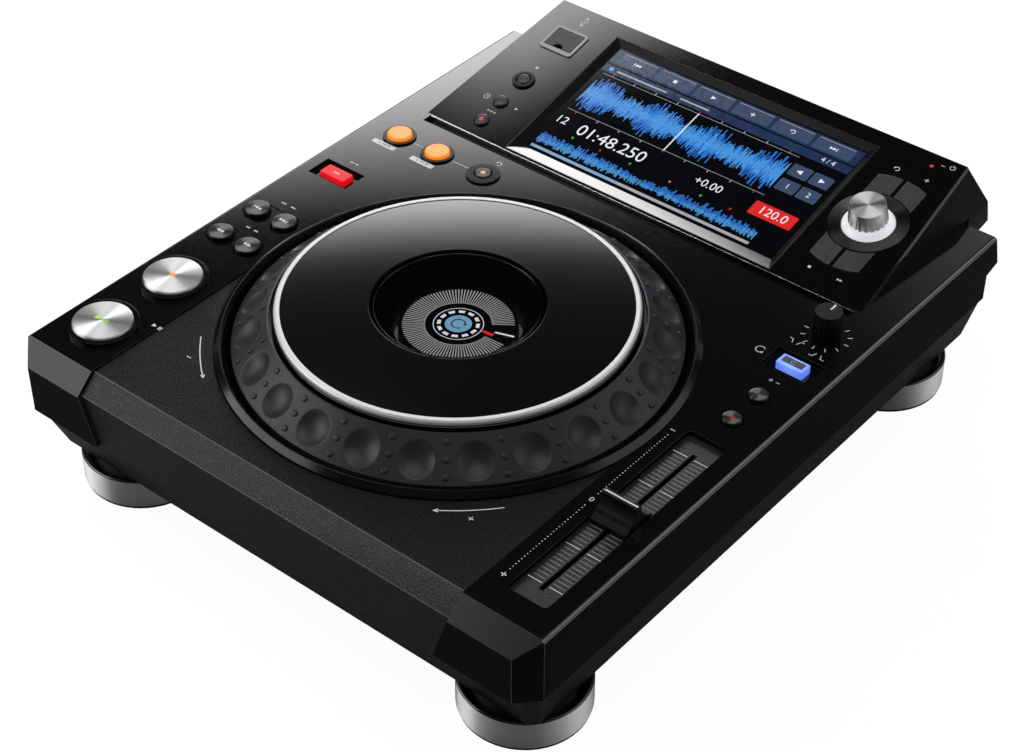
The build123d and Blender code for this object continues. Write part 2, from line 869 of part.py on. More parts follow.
# Jog plate: the touch disc, its skirt and the dark funnel under the window
jog_skirt_r = dial_top_r - dial_lip_w - jog_groove_w
trim_out_r = jog_skirt_r - jog_groove_w
trim_in_r = trim_out_r - trim_w
trim_seat_rise = jog_top_rise + trim_proud - trim_rise
jog_skirt_low = dial_ledge_rise + jog_press + press_gap
window_seat_rise = jog_top_rise - window_t
plate_low_rise = jog_top_rise - jog_plate_t
with BuildPart() as jog_plate:
    with BuildSketch(jog_plane):
        with BuildLine():
            Polyline(
                (window_r + fit_gap, jog_top_rise),
                (trim_in_r, jog_top_rise),
                (trim_in_r, trim_seat_rise),
                (jog_skirt_r, trim_seat_rise),
                (jog_skirt_r, jog_skirt_low),
                (jog_skirt_r - jog_skirt_t, jog_skirt_low),
                (jog_skirt_r - jog_skirt_t, trim_seat_rise - trim_step_t),
                (trim_in_r - jog_skirt_t, trim_seat_rise - trim_step_t),
                (trim_in_r - jog_skirt_t, plate_low_rise),
                (window_r, plate_low_rise),
                (shade_low_r + shade_t, shade_low_rise),
                (shade_low_r, shade_low_rise),
                (window_r - window_ledge, window_seat_rise),
                (window_r + fit_gap, window_seat_rise),
                close=True,
            )
        make_face()
    revolve(axis=jog_axis)
save(jog_plate.part, "jog_plate")

# Silver trim ring on the plate's step
with BuildPart() as jog_trim:
    with BuildSketch(jog_plane):
        with BuildLine():
            Polyline(
                (trim_in_r, trim_seat_rise),
                (trim_out_r, trim_seat_rise),
                (trim_out_r, trim_seat_rise + trim_rise - trim_chamfer),
                (trim_out_r - trim_chamfer, trim_seat_rise + trim_rise),
                (trim_in_r, trim_seat_rise + trim_rise),
                close=True,
            )
        make_face()
    revolve(axis=jog_axis)
save(jog_trim.part, "jog_trim")

# Clear window in the middle of the plate
with BuildPart() as jog_window:
    with BuildSketch(Plane.XY.offset(deck_z + jog_top_rise)):
        with Locations((0, jog_y)):
            Circle(window_r)
    extrude(amount=-window_t)
save(jog_window.part, "jog_window")

# Outer wedge of the display unit, from which its housing and its panel are cut
side_reach = face_back_z - deck_z + through
side_lean = side_reach * math.tan(math.radians(unit_side_lean))
lip_slope = lip_run / lip_drop
with BuildPart() as unit_wedge:
    with BuildSketch(Plane.YZ):
        with BuildLine():
            Polyline(
                (face_y, face_z),
                (face_back_y, face_back_z),
                (front_y + hood_dist, deck_z + hood_rise),
                (front_y + hood_back_dist, deck_z - hood_back_drop),
                (front_y + hood_foot_dist, deck_z - hood_foot_drop),
                (back_y + hood_foot_drop * lip_slope + hood_gap, deck_z - hood_foot_drop),
                (back_y + hood_gap, deck_z),
                (face_y + unit_nose_l, deck_z),
                (face_y + unit_nose_l, face_z - unit_nose_t),
                (face_y, face_z - unit_nose_t),
                close=True,
            )
        make_face()
    extrude(amount=unit_half_w, both=True)
    with BuildSketch(Plane.XZ.offset(-(front_y + hood_back_dist))):
        with BuildLine():
            Polyline(
                (unit_half_w, deck_z),
                (unit_half_w + side_lean, deck_z),
                (unit_half_w + side_lean, deck_z + side_reach),
                (unit_half_w - side_lean, deck_z + side_reach),
                close=True,
            )
        make_face()
        mirror(about=Plane.YZ)
    extrude(amount=hood_back_dist - unit_dist + through, mode=Mode.SUBTRACT)
    with BuildSketch(Plane.XY.offset(deck_z)):
        for side in (-1, 1):
            with Locations((side * (bay_half_w + unit_half_w) / 2, face_y + unit_nose_l / 2)):
                Rectangle(unit_half_w - bay_half_w + 2 * fit_gap, unit_nose_l + 2 * fit_gap)
    extrude(amount=-2 * unit_nose_t, mode=Mode.SUBTRACT)

# Display housing: hollow wedge with a rear hood, a skirt in the cabinet's bay and a front ledge
with BuildPart() as display_housing:
    add(unit_wedge.part)
    with BuildSketch(face_plane.offset(-face_t)):
        Rectangle(2 * body_w, 2 * body_w)
    extrude(amount=body_w, mode=Mode.SUBTRACT)
    with BuildSketch(Plane.YZ):
        with BuildLine():
            Polyline(
                (face_y - through, face_z - skirt_drop),
                (face_y - through, face_z + through),
                (face_back_y - unit_wall_t, face_back_z + through),
                (front_y + hood_dist - 2 * unit_wall_t, deck_z + hood_rise),
                (front_y + hood_back_dist - unit_wall_t, deck_z - hood_back_drop + unit_wall_t),
                (back_y + hood_gap, deck_z - hood_back_drop + unit_wall_t),
                (back_y - unit_wall_t, deck_z),
                (back_y - unit_wall_t, deck_z - skirt_drop),
                close=True,
            )
        make_face()
    extrude(amount=unit_half_w, both=True, mode=Mode.SUBTRACT)
    # Leaning side walls, thicker than the step onto the top plate
    with BuildSketch(Plane.XZ.offset(-(front_y + hood_back_dist - unit_wall_t))):
        with BuildLine():
            Polyline(
                (unit_half_w, deck_z),
                (unit_half_w - side_lean, deck_z + side_reach),
                (unit_half_w - unit_wall_t - side_lean, deck_z + side_reach),
                (unit_half_w - unit_wall_t, deck_z),
                close=True,
            )
        make_face()
        mirror(about=Plane.YZ)
    extrude(amount=hood_back_dist - unit_wall_t - unit_dist)
    with BuildSketch(Plane.XZ.offset(-(front_y + hood_back_dist - unit_wall_t))):
        for side in (-1, 1):
            with Locations((side * (unit_half_w - unit_wall_t / 2), deck_z - (hood_back_drop - through) / 2)):
                Rectangle(unit_wall_t, hood_back_drop - through)
    extrude(amount=hood_back_dist - unit_wall_t - deck_l - lip_run - hood_gap)
    # Skirt that drops into the cabinet's bay
    with BuildSketch(Plane.XY.offset(deck_z - skirt_drop)):
        for side in (-1, 1):
            skirt_x = side * (bay_half_w - fit_gap - skirt_t / 2)
            with Locations((skirt_x, front_y + (unit_dist + bay_back_dist) / 2)):
                Rectangle(skirt_t, bay_back_dist - unit_dist - 2 * fit_gap)
    extrude(amount=skirt_drop)
    with BuildSketch(face_plane.offset(-face_t)):
        Rectangle(2 * body_w, 2 * body_w)
    extrude(amount=body_w, mode=Mode.SUBTRACT)
    with BuildSketch(Plane.YZ):
        with BuildLine():
            Polyline(
                (face_back_y - through, face_back_z + through),
                (face_back_y, face_back_z),
                (front_y + hood_dist, deck_z + hood_rise),
                (front_y + hood_back_dist, deck_z - hood_back_drop),
                (front_y + hood_back_dist + 2 * unit_wall_t, deck_z - hood_back_drop),
                (front_y + hood_back_dist + 2 * unit_wall_t, face_back_z + through),
                close=True,
            )
        make_face()
    extrude(amount=body_w, both=True, mode=Mode.SUBTRACT)
    # Ledge that floors the groove before the screen, tied to the skirt
    with BuildSketch(Plane.XY.offset(deck_z - plate_t)):
        with Locations((0, face_y - (groove_w + ledge_reach) / 2)):
            Rectangle(2 * (bay_half_w - fit_gap), groove_w + ledge_reach - fit_gap)
    extrude(amount=-(skirt_drop - plate_t))
    with BuildSketch(Plane.XY.offset(deck_z - plate_t)):
        for side in (-1, 1):
            with Locations((side * (bay_half_w - fit_gap - skirt_t / 2), face_y)):
                Rectangle(skirt_t, 2 * skirt_t)
    extrude(amount=-(skirt_drop - plate_t))
save(display_housing.part, "display_housing")

# Display panel: the tilted face plate with its openings and the posts of its switch boards
bezel_mid_s = (bezel_low_s + bezel_top_s) / 2
bezel_l = bezel_top_s - bezel_low_s
face_board_in_x = bezel_w / 2 + bezel_flange + wall_t
face_board_out_x = bay_half_w - 2 * skirt_t
left_face_board_top_s = usb_s - usb_l / 2 - wall_t
face_post_x = (face_board_in_x + face_board_out_x) / 2
face_posts = [
    (-face_board_out_x + board_post_r, time_mode_s),
    (-face_board_in_x - board_post_r, usb_stop_s),
    (face_board_out_x - board_post_r, browse_s + segment_in_r / 2),
    (face_board_in_x + board_post_r, browse_s - segment_in_r / 2),
]
with BuildPart() as display_panel:
    add(unit_wedge.part)
    with BuildSketch(face_plane):
        Rectangle(2 * body_w, 2 * body_w)
    extrude(amount=-face_t, mode=Mode.INTERSECT)
    with BuildSketch(face_plane.offset(through)):
        with Locations((0, bezel_mid_s)):
            Rectangle(bezel_w + 2 * fit_gap, bezel_l + 2 * fit_gap)
        with Locations((usb_x, usb_s)):
            RectangleRounded(usb_w + 2 * fit_gap, usb_l + 2 * fit_gap, usb_corner_r)
        for x, s, radius in face_buttons.values():
            with Locations((x, s)):
                Circle(radius + button_gap)
        with Locations((browse_x, browse_s)):
            Circle(glow_r + fit_gap)
    extrude(amount=-face_t - 2 * through, mode=Mode.SUBTRACT)
    for side_x, side_s in segment_buttons.values():
        with BuildSketch(face_plane.offset(through)):
            with Locations((browse_x, browse_s)):
                Circle(segment_out_r + button_gap)
                Circle(segment_in_r - button_gap, mode=Mode.SUBTRACT)
            with Locations((browse_x + side_x * segment_mid_x, browse_s + side_s * segment_out_r)):
                Rectangle(segment_w + 2 * button_gap, 2 * segment_out_r, mode=Mode.INTERSECT)
        extrude(amount=-face_t - 2 * through, mode=Mode.SUBTRACT)
    with BuildSketch(face_plane.offset(-face_t)):
        with Locations(face_posts):
            Circle(board_post_r)
    extrude(amount=-(face_board_drop - face_t))
save(display_panel.part, "display_panel")

# Screen bezel: a frame that slopes in to the glass, held by a flange under the panel
screen_mid_s = (screen_low_s + screen_top_s) / 2
screen_l = screen_top_s - screen_low_s
with BuildPart() as screen_bezel:
    with BuildSketch(face_plane):
        with Locations((0, bezel_mid_s)):
            Rectangle(bezel_w, bezel_l)
    extrude(amount=-bezel_t)
    with BuildSketch(face_plane.offset(-face_t)):
        with Locations((0, bezel_mid_s)):
            Rectangle(bezel_w + 2 * bezel_flange, bezel_l + 2 * bezel_flange)
    extrude(amount=-(bezel_t - face_t))
    with BuildSketch(face_plane):
        with Locations((0, bezel_mid_s)):
            Rectangle(bezel_w - 2 * bezel_edge, bezel_l - 2 * bezel_edge)
    with BuildSketch(face_plane.offset(-bezel_t)):
        with Locations((0, screen_mid_s)):
            Rectangle(screen_w, screen_l)
    loft(mode=Mode.SUBTRACT)
save(screen_bezel.part, "screen_bezel")

# Touch glass under the bezel
with BuildPart() as touch_glass:
    with BuildSketch(face_plane.offset(-bezel_t)):
        with Locations((0, screen_mid_s)):
            Rectangle(screen_w + 2 * glass_lap, screen_l + 2 * glass_lap)
    extrude(amount=-glass_t)
save(touch_glass.part, "touch_glass")

# LCD module behind the glass
with BuildPart() as lcd_module:
    with BuildSketch(face_plane.offset(-bezel_t - glass_t)):
        with Locations((0, screen_mid_s)):
            Rectangle(screen_w + 2 * lcd_lap, screen_l + 2 * lcd_lap)
    extrude(amount=-lcd_t)
save(lcd_module.part, "lcd_module")

# USB frame with the opening and the pin holes of its lid
lid_hinge_s = usb_s + lid_l / 2
lid_axis_h = usb_rise - lid_t / 2
lid_open_w = lid_w + 2 * lid_gap
lid_barrel_r = lid_t / 2
lid_low_s = lid_hinge_s - lid_l
lid_open_l = lid_l + lid_barrel_r + 2 * lid_gap
lid_open_s = lid_low_s - lid_gap + lid_open_l / 2
with BuildPart() as usb_frame:
    with BuildSketch(face_plane.offset(usb_rise)):
        with Locations((usb_x, usb_s)):
            RectangleRounded(usb_w, usb_l, usb_corner_r)
        with Locations((usb_x, lid_open_s)):
            Rectangle(lid_open_w, lid_open_l, mode=Mode.SUBTRACT)
    extrude(amount=-usb_rise - usb_frame_t)
    with BuildSketch(face_plane.offset(-face_t)):
        with Locations((usb_x, usb_s)):
            Rectangle(usb_w + 2 * bezel_flange, usb_l + 2 * bezel_flange)
        with Locations((usb_x, lid_open_s)):
            Rectangle(lid_open_w, lid_open_l, mode=Mode.SUBTRACT)
    extrude(amount=-(usb_frame_t - face_t))
    pin_plane = Plane(
        origin=face_plane.from_local_coords((usb_x, lid_hinge_s, lid_axis_h)),
        x_dir=(0, math.cos(tilt), math.sin(tilt)),
        z_dir=(1, 0, 0),
    )
    with BuildSketch(pin_plane):
        Circle(lid_pin_r + running_gap)
    extrude(amount=lid_open_w / 2 + lid_pin_l, both=True, mode=Mode.SUBTRACT)
save(usb_frame.part, "usb_frame")

# USB lid: a flap with a round hinge edge, two pins and a finger notch
with BuildPart() as usb_lid:
    with BuildSketch(face_plane.offset(usb_rise)):
        with Locations((usb_x, usb_s)):
            Rectangle(lid_w, lid_l)
        with Locations((usb_x, lid_low_s)):
            Circle(notch_r, mode=Mode.SUBTRACT)
    extrude(amount=-lid_t)
    with BuildSketch(pin_plane):
        Circle(lid_barrel_r)
    extrude(amount=lid_w / 2, both=True)
    with BuildSketch(pin_plane):
        Circle(lid_pin_r)
    extrude(amount=lid_w / 2 + lid_gap + lid_pin_l - fit_gap, both=True)
save(usb_lid.part, "usb_lid")

# USB socket under the lid, standing on the frame's flange side
with BuildPart() as usb_socket:
    with BuildSketch(face_plane.offset(-usb_frame_t)):
        with Locations((usb_x, usb_s)):
            Rectangle(usb_w, usb_l)
            Rectangle(usb_socket_w, usb_socket_l, mode=Mode.SUBTRACT)
    extrude(amount=-usb_shell_t)
    with BuildSketch(face_plane.offset(-usb_frame_t)):
        with Locations((usb_x, usb_s)):
            Rectangle(usb_socket_w + 2 * usb_shell_t, usb_socket_l + 2 * usb_shell_t)
            Rectangle(usb_socket_w, usb_socket_l, mode=Mode.SUBTRACT)
    extrude(amount=-usb_socket_d)
    with BuildSketch(face_plane.offset(-usb_frame_t - usb_socket_d)):
        with Locations((usb_x, usb_s)):
            Rectangle(usb_socket_w + 2 * usb_shell_t, usb_socket_l + 2 * usb_shell_t)
    extrude(amount=-2 * usb_shell_t)
    with BuildSketch(face_plane.offset(-usb_frame_t - usb_socket_d)):
        with Locations((usb_x, usb_s + usb_socket_l / 4)):
            Rectangle(usb_socket_w - usb_socket_l / 2, usb_socket_l / 4)
    extrude(amount=usb_socket_d - usb_socket_drop)
save(usb_socket.part, "usb_socket")

# Round deck buttons: cap, retaining flange and stem
for name, (x, y, radius, rise) in round_buttons.items():
    with BuildPart() as round_button:
        with BuildSketch(Plane.XY.offset(deck_z + rise)):
            with Locations((x, y)):
                Circle(radius)
        extrude(amount=-rise - flange_drop)
        fillet(round_button.edges().group_by(Axis.Z)[-1], crown_r)
        with BuildSketch(Plane.XY.offset(deck_z - flange_drop)):
            with Locations((x, y)):
                Circle(radius + flange_lap)
        extrude(amount=-flange_t)
        with BuildSketch(Plane.XY.offset(deck_z - flange_drop)):
            with Locations((x, y)):
                Circle(stem_r)
        extrude(amount=flange_drop - stem_end_drop)
    save(round_button.part, name)

# Rectangular buttons in their wells
for name, (x, y, key_w, key_l, rise) in key_buttons.items():
    with BuildPart() as key_button:
        with BuildSketch(Plane.XY.offset(deck_z + rise)):
            with Locations((x, y)):
                RectangleRounded(key_w, key_l, key_corner_r)
        extrude(amount=-rise - well_flange_drop)
        fillet(key_button.edges().group_by(Axis.Z)[-1], crown_r / 2)
        with BuildSketch(Plane.XY.offset(deck_z - well_flange_drop)):
            with Locations((x, y)):
                Rectangle(key_w + 2 * flange_lap, key_l + 2 * flange_lap)
        extrude(amount=-flange_t)
        with BuildSketch(Plane.XY.offset(deck_z - well_flange_drop)):
            with Locations((x, y)):
                Circle(stem_r)
        extrude(amount=well_flange_drop - stem_end_drop)
    save(key_button.part, name)

# Round buttons on the display face
for name, (x, s, radius) in face_buttons.items():
    with BuildPart() as face_button:
        with BuildSketch(face_plane.offset(face_button_rise)):
            with Locations((x, s)):
                Circle(radius)
        extrude(amount=-face_button_rise - face_flange_drop)
        fillet(face_button.edges().group_by(Axis(face_plane.origin, face_plane.z_dir))[-1], crown_r)
        with BuildSketch(face_plane.offset(-face_flange_drop)):
            with Locations((x, s)):
                Circle(radius + flange_lap)
        extrude(amount=-flange_t)
        with BuildSketch(face_plane.offset(-face_flange_drop)):
            with Locations((x, s)):
                Circle(stem_r)
        extrude(amount=face_flange_drop - face_stem_end_drop)
    save(face_button.part, name)

# Four segment buttons round the browse knob
for name, (side_x, side_s) in segment_buttons.items():
    with BuildPart() as segment:
        with BuildSketch(face_plane.offset(segment_rise)):
            with Locations((browse_x, browse_s)):
                Circle(segment_out_r)
                Circle(segment_in_r, mode=Mode.SUBTRACT)
            with Locations((browse_x + side_x * segment_mid_x, browse_s + side_s * segment_out_r)):
                Rectangle(segment_w, 2 * segment_out_r, mode=Mode.INTERSECT)
        extrude(amount=-segment_rise - face_flange_drop)
        with BuildSketch(face_plane.offset(-face_flange_drop)):
            with Locations((browse_x, browse_s)):
                Circle(segment_out_r + flange_lap / 2)
                Circle(segment_in_r - flange_lap / 2, mode=Mode.SUBTRACT)
            with Locations((browse_x + side_x * segment_mid_x, browse_s + side_s * segment_out_r)):
                Rectangle(segment_w + flange_lap, 2 * segment_out_r, mode=Mode.INTERSECT)
        extrude(amount=-flange_t)
        with BuildSketch(face_plane.offset(-face_flange_drop)):
            with Locations((browse_x + side_x * segment_mid_x, browse_s + side_s * segment_mid_s)):
                Circle(stem_r)
        extrude(amount=face_flange_drop - face_stem_end_drop)
    save(segment.part, name)

# Button bezels on the deck and round the USB stop button
with BuildPart() as button_bezels:
    for x, y, radius, bezel_r, rise in bezels:
        with BuildSketch(Plane.XY.offset(deck_z)):
            with Locations((x, y)):
                Circle(bezel_r)
                Circle(radius + button_gap, mode=Mode.SUBTRACT)
        extrude(amount=rise)
    with BuildSketch(face_plane):
        with Locations((usb_x, usb_stop_s)):
            Circle(usb_stop_bezel_r)
            Circle(usb_stop_r + button_gap, mode=Mode.SUBTRACT)
    extrude(amount=usb_stop_bezel_rise)
save(button_bezels.part, "button_bezels")

# Circuit boards: the main board, and the switch boards under the two strips and the display panel
board_z = chassis_z + chassis_t + boss_h
with BuildPart() as circuit_boards:
    with BuildSketch(Plane.XY.offset(board_z)):
        with Locations((main_board_x, main_board_y)):
            Rectangle(main_board_w, main_board_l)
    extrude(amount=board_t)
    with BuildSketch(Plane.XY.offset(board_z + board_t)):
        with Locations((main_board_x, main_board_y)):
            with GridLocations(3 * chip_w, 2 * chip_w, 2, 2):
                Rectangle(chip_w, chip_w)
    extrude(amount=chip_t)
    with BuildSketch(Plane.XY.offset(deck_z - board_drop)):
        with Locations(((left_board_out_x + left_board_in_x) / 2, (left_board_front_y + board_back_y) / 2)):
            Rectangle(left_board_in_x - left_board_out_x, board_back_y - left_board_front_y)
        with Locations(((left_board_out_x + left_board_reach_x) / 2, loop_y)):
            Rectangle(left_board_reach_x - left_board_out_x, 2 * (board_back_y - loop_y))
        with Locations((-(left_board_out_x + left_board_in_x) / 2, (right_board_front_y + board_back_y) / 2)):
            Rectangle(left_board_in_x - left_board_out_x, board_back_y - right_board_front_y)
        with Locations((strip_x, front_y + speed_dist)):
            Rectangle(pot_w + 2 * fit_gap, pot_w + 2 * fit_gap, mode=Mode.SUBTRACT)
    extrude(amount=-board_t)
    with BuildSketch(Plane.XY.offset(deck_z - board_drop)):
        for button in list(round_buttons.values()) + list(key_buttons.values()):
            with Locations(button[:2]):
                Rectangle(switch_w, switch_w)
    extrude(amount=switch_t)
    with BuildSketch(face_plane.offset(-face_board_drop)):
        with Locations((-face_post_x, left_face_board_top_s / 2 + wall_t)):
            Rectangle(face_board_out_x - face_board_in_x, left_face_board_top_s - wall_t)
        with Locations((face_post_x, browse_s)):
            Rectangle(face_board_out_x - face_board_in_x, 2 * segment_out_r + 2 * wall_t)
        with Locations((browse_x, browse_s)):
            Rectangle(encoder_w + 2 * fit_gap, encoder_w + 2 * fit_gap, mode=Mode.SUBTRACT)
    extrude(amount=-board_t)
    with BuildSketch(face_plane.offset(-face_board_drop)):
        for x, s, radius in face_buttons.values():
            with Locations((x, s)):
                Rectangle(switch_w, switch_w)
        for side_x, side_s in segment_buttons.values():
            with Locations((browse_x + side_x * segment_mid_x, browse_s + side_s * segment_mid_s)):
                Rectangle(switch_w, switch_w)
    extrude(amount=switch_t)
save(circuit_boards.part, "circuit_boards")

# Gloss ring round the browse knob
with BuildPart() as browse_ring:
    with BuildSketch(face_plane):
        with Locations((browse_x, browse_s)):
            Circle(browse_ring_r)
            Circle(browse_ring_in_r, mode=Mode.SUBTRACT)
    extrude(amount=browse_ring_t)
save(browse_ring.part, "browse_ring")

# Lit base of the browse knob: a cone that narrows up to the knob
browse_plane = Plane(
    origin=face_plane.from_local_coords((browse_x, browse_s, 0)),
    x_dir=face_plane.x_dir,
    z_dir=face_plane.z_dir,
)
with BuildPart() as browse_glow:
    with BuildSketch(browse_plane.offset(-glow_t)):
        Circle(glow_r)
    extrude(amount=glow_t)
    with BuildSketch(browse_plane):
        Circle(glow_r)
    with BuildSketch(browse_plane.offset(glow_rise)):
        Circle(glow_top_r)
    loft()
    with BuildSketch(browse_plane.offset(-glow_t)):
        Circle(bushing_r + fit_gap)
    extrude(amount=glow_t + glow_rise, mode=Mode.SUBTRACT)
save(browse_glow.part, "browse_glow")

# Knob bodies: the browse encoder with a blind bore for its shaft, and the speed potentiometer
speed_y = front_y + speed_dist
speed_shaft_top = speed_rise - knob_roof_t
encoder_low = -glow_t - encoder_h
shaft_low = encoder_low + encoder_wall_t + browse_push + switch_gap
with BuildPart() as knob_bodies:
    with BuildSketch(browse_plane.offset(-glow_t)):
        Rectangle(encoder_w, encoder_w)
    extrude(amount=-encoder_h)
    with BuildSketch(browse_plane.offset(-glow_t)):
        Circle(bushing_r)
    extrude(amount=glow_t + bushing_top)
    with BuildSketch(browse_plane.offset(encoder_low + encoder_wall_t)):
        Circle(shaft_foot_r + running_gap)
    extrude(amount=encoder_h - 2 * encoder_wall_t, mode=Mode.SUBTRACT)
    with BuildSketch(browse_plane.offset(encoder_low + encoder_wall_t)):
        Circle(shaft_r + running_gap)
    extrude(amount=encoder_h + glow_t + bushing_top, mode=Mode.SUBTRACT)
    with BuildSketch(Plane.XY.offset(deck_z - plate_t)):
        with Locations((strip_x, speed_y)):
            Rectangle(pot_w, pot_w)
    extrude(amount=-pot_h)
    with BuildSketch(Plane.XY.offset(deck_z - plate_t)):
        with Locations((strip_x, speed_y)):
            Circle(speed_bushing_r)
    extrude(amount=plate_t)
    with BuildSketch(Plane.XY.offset(deck_z - plate_t)):
        with Locations((strip_x, speed_y)):
            Circle(shaft_r)
    extrude(amount=plate_t + speed_shaft_top)
save(knob_bodies.part, "knob_bodies")

# Browse shaft: pushed in to select, with a foot that keeps it in the encoder
browse_knob_low = glow_rise + browse_knob_gap
shaft_top = browse_knob_rise - knob_roof_t
with BuildPart() as browse_shaft:
    with BuildSketch(browse_plane.offset(shaft_low)):
        Circle(shaft_foot_r)
    extrude(amount=shaft_foot_t)
    with BuildSketch(browse_plane.offset(shaft_low)):
        Circle(shaft_r)
    extrude(amount=shaft_top - shaft_low)
save(browse_shaft.part, "browse_shaft")

# Browse knob: a fluted metal knob that turns on the shaft
with BuildPart() as browse_knob:
    with BuildSketch(browse_plane.offset(browse_knob_low)):
        Circle(browse_knob_r)
    with BuildSketch(browse_plane.offset(browse_knob_rise)):
        Circle(browse_knob_top_r)
    loft()
    with BuildSketch(browse_plane.offset(browse_knob_low)):
        with PolarLocations(browse_knob_r + flute_r / 3, browse_flutes):
            Circle(flute_r)
    extrude(amount=browse_knob_rise - browse_knob_low - crown_r, mode=Mode.SUBTRACT)
    with BuildSketch(browse_plane.offset(browse_knob_low)):
        Circle(shaft_r + running_gap)
    extrude(amount=shaft_top - browse_knob_low + running_gap, mode=Mode.SUBTRACT)
save(browse_knob.part, "browse_knob")

# Speed knob: fluted, on the potentiometer's shaft
with BuildPart() as speed_knob:
    with BuildSketch(Plane.XY.offset(deck_z + speed_gap)):
        with Locations((strip_x, speed_y)):
            Circle(speed_r)
    with BuildSketch(Plane.XY.offset(deck_z + speed_rise)):
        with Locations((strip_x, speed_y)):
            Circle(speed_top_r)
    loft()
    with BuildSketch(Plane.XY.offset(deck_z + speed_gap)):
        with Locations((strip_x, speed_y)):
            with PolarLocations(speed_r + flute_r / 3, speed_flutes):
                Circle(flute_r)
    extrude(amount=speed_rise - speed_gap - crown_r, mode=Mode.SUBTRACT)
    with BuildSketch(Plane.XY.offset(deck_z + speed_gap)):
        with Locations((strip_x, speed_y)):
            Circle(shaft_r + running_gap)
    extrude(amount=speed_shaft_top - speed_gap + running_gap, mode=Mode.SUBTRACT)
save(speed_knob.part, "speed_knob")

# Tempo plate: the sunken scale plate with the fader's slot, held under the top plate
fader_y = front_y + fader_dist
fader_slot_l = 2 * fader_travel + lever_l + 2 * fader_end_gap
with BuildPart() as tempo_plate:
    with BuildSketch(Plane.XY.offset(deck_z - plate_t)):
        with Locations((fader_x, fader_y)):
            Rectangle(fader_open_w + 2 * fader_plate_lap, fader_open_l + 2 * fader_plate_lap)
            Rectangle(fader_slot_w, fader_slot_l, mode=Mode.SUBTRACT)
    extrude(amount=-fader_plate_t)
save(tempo_plate.part, "tempo_plate")

# Fader body: a long box with the carriage's channel
fader_top_drop = plate_t + fader_plate_t
channel_w = carriage_t + 2 * button_gap
channel_l = 2 * fader_travel + carriage_l + 2 * fader_end_gap
with BuildPart() as tempo_fader:
    with BuildSketch(Plane.XY.offset(deck_z - fader_top_drop)):
        with Locations((fader_x, fader_y)):
            Rectangle(fader_body_w, channel_l + 2 * fader_wall_t)
    extrude(amount=-fader_body_h)
    with BuildSketch(Plane.XY.offset(deck_z - fader_top_drop)):
        with Locations((fader_x, fader_y)):
            Rectangle(channel_w, channel_l)
    extrude(amount=-(fader_body_h - fader_wall_t), mode=Mode.SUBTRACT)
save(tempo_fader.part, "tempo_fader")

# Fader cap: a saddle with a central ridge, on a lever with its carriage
cap_low_z = deck_z - plate_t + cap_gap
cap_foot_z = cap_low_z + cap_edge_t
cap_mid_y = (cap_l + cap_ridge_l) / 4 - cap_sag
cap_mid_z = (cap_foot_z + deck_z + cap_rise) / 2 - cap_sag
with BuildPart() as tempo_cap:
    with BuildSketch(Plane.YZ.offset(fader_x - cap_w / 2)):
        with BuildLine():
            Line((fader_y - cap_l / 2, cap_low_z), (fader_y + cap_l / 2, cap_low_z))
            Line((fader_y + cap_l / 2, cap_low_z), (fader_y + cap_l / 2, cap_foot_z))
            ThreePointArc(
                (fader_y + cap_l / 2, cap_foot_z),
                (fader_y + cap_mid_y, cap_mid_z),
                (fader_y + cap_ridge_l / 2, deck_z + cap_rise),
            )
            Line(
                (fader_y + cap_ridge_l / 2, deck_z + cap_rise),
                (fader_y - cap_ridge_l / 2, deck_z + cap_rise),
            )
            ThreePointArc(
                (fader_y - cap_ridge_l / 2, deck_z + cap_rise),
                (fader_y - cap_mid_y, cap_mid_z),
                (fader_y - cap_l / 2, cap_foot_z),
            )
            Line((fader_y - cap_l / 2, cap_foot_z), (fader_y - cap_l / 2, cap_low_z))
        make_face()
    extrude(amount=cap_w)
    carriage_top_z = deck_z - fader_top_drop - fader_end_gap
    with BuildSketch(Plane.XY.offset(cap_low_z)):
        with Locations((fader_x, fader_y)):
            Rectangle(lever_t, lever_l)
    extrude(amount=carriage_top_z - cap_low_z)
    with BuildSketch(Plane.XY.offset(carriage_top_z)):
        with Locations((fader_x, fader_y)):
            Rectangle(carriage_t, carriage_l)
    extrude(amount=-carriage_h)
save(tempo_cap.part, "tempo_cap")

# Bottom chassis: a tray whose sides draw in to the floor, with a lip inside the cabinet and board bosses
chassis_top_half_w = body_w / 2 - chassis_top_inset


def tray_outline(half_w, front, back, corner):
    """Corner points of the tray in plan, with its two front corners cut off."""
    return [
        (-half_w + corner, front),
        (half_w - corner, front),
        (half_w, front + corner),
        (half_w, back),
        (-half_w, back),
        (-half_w, front + corner),
    ]


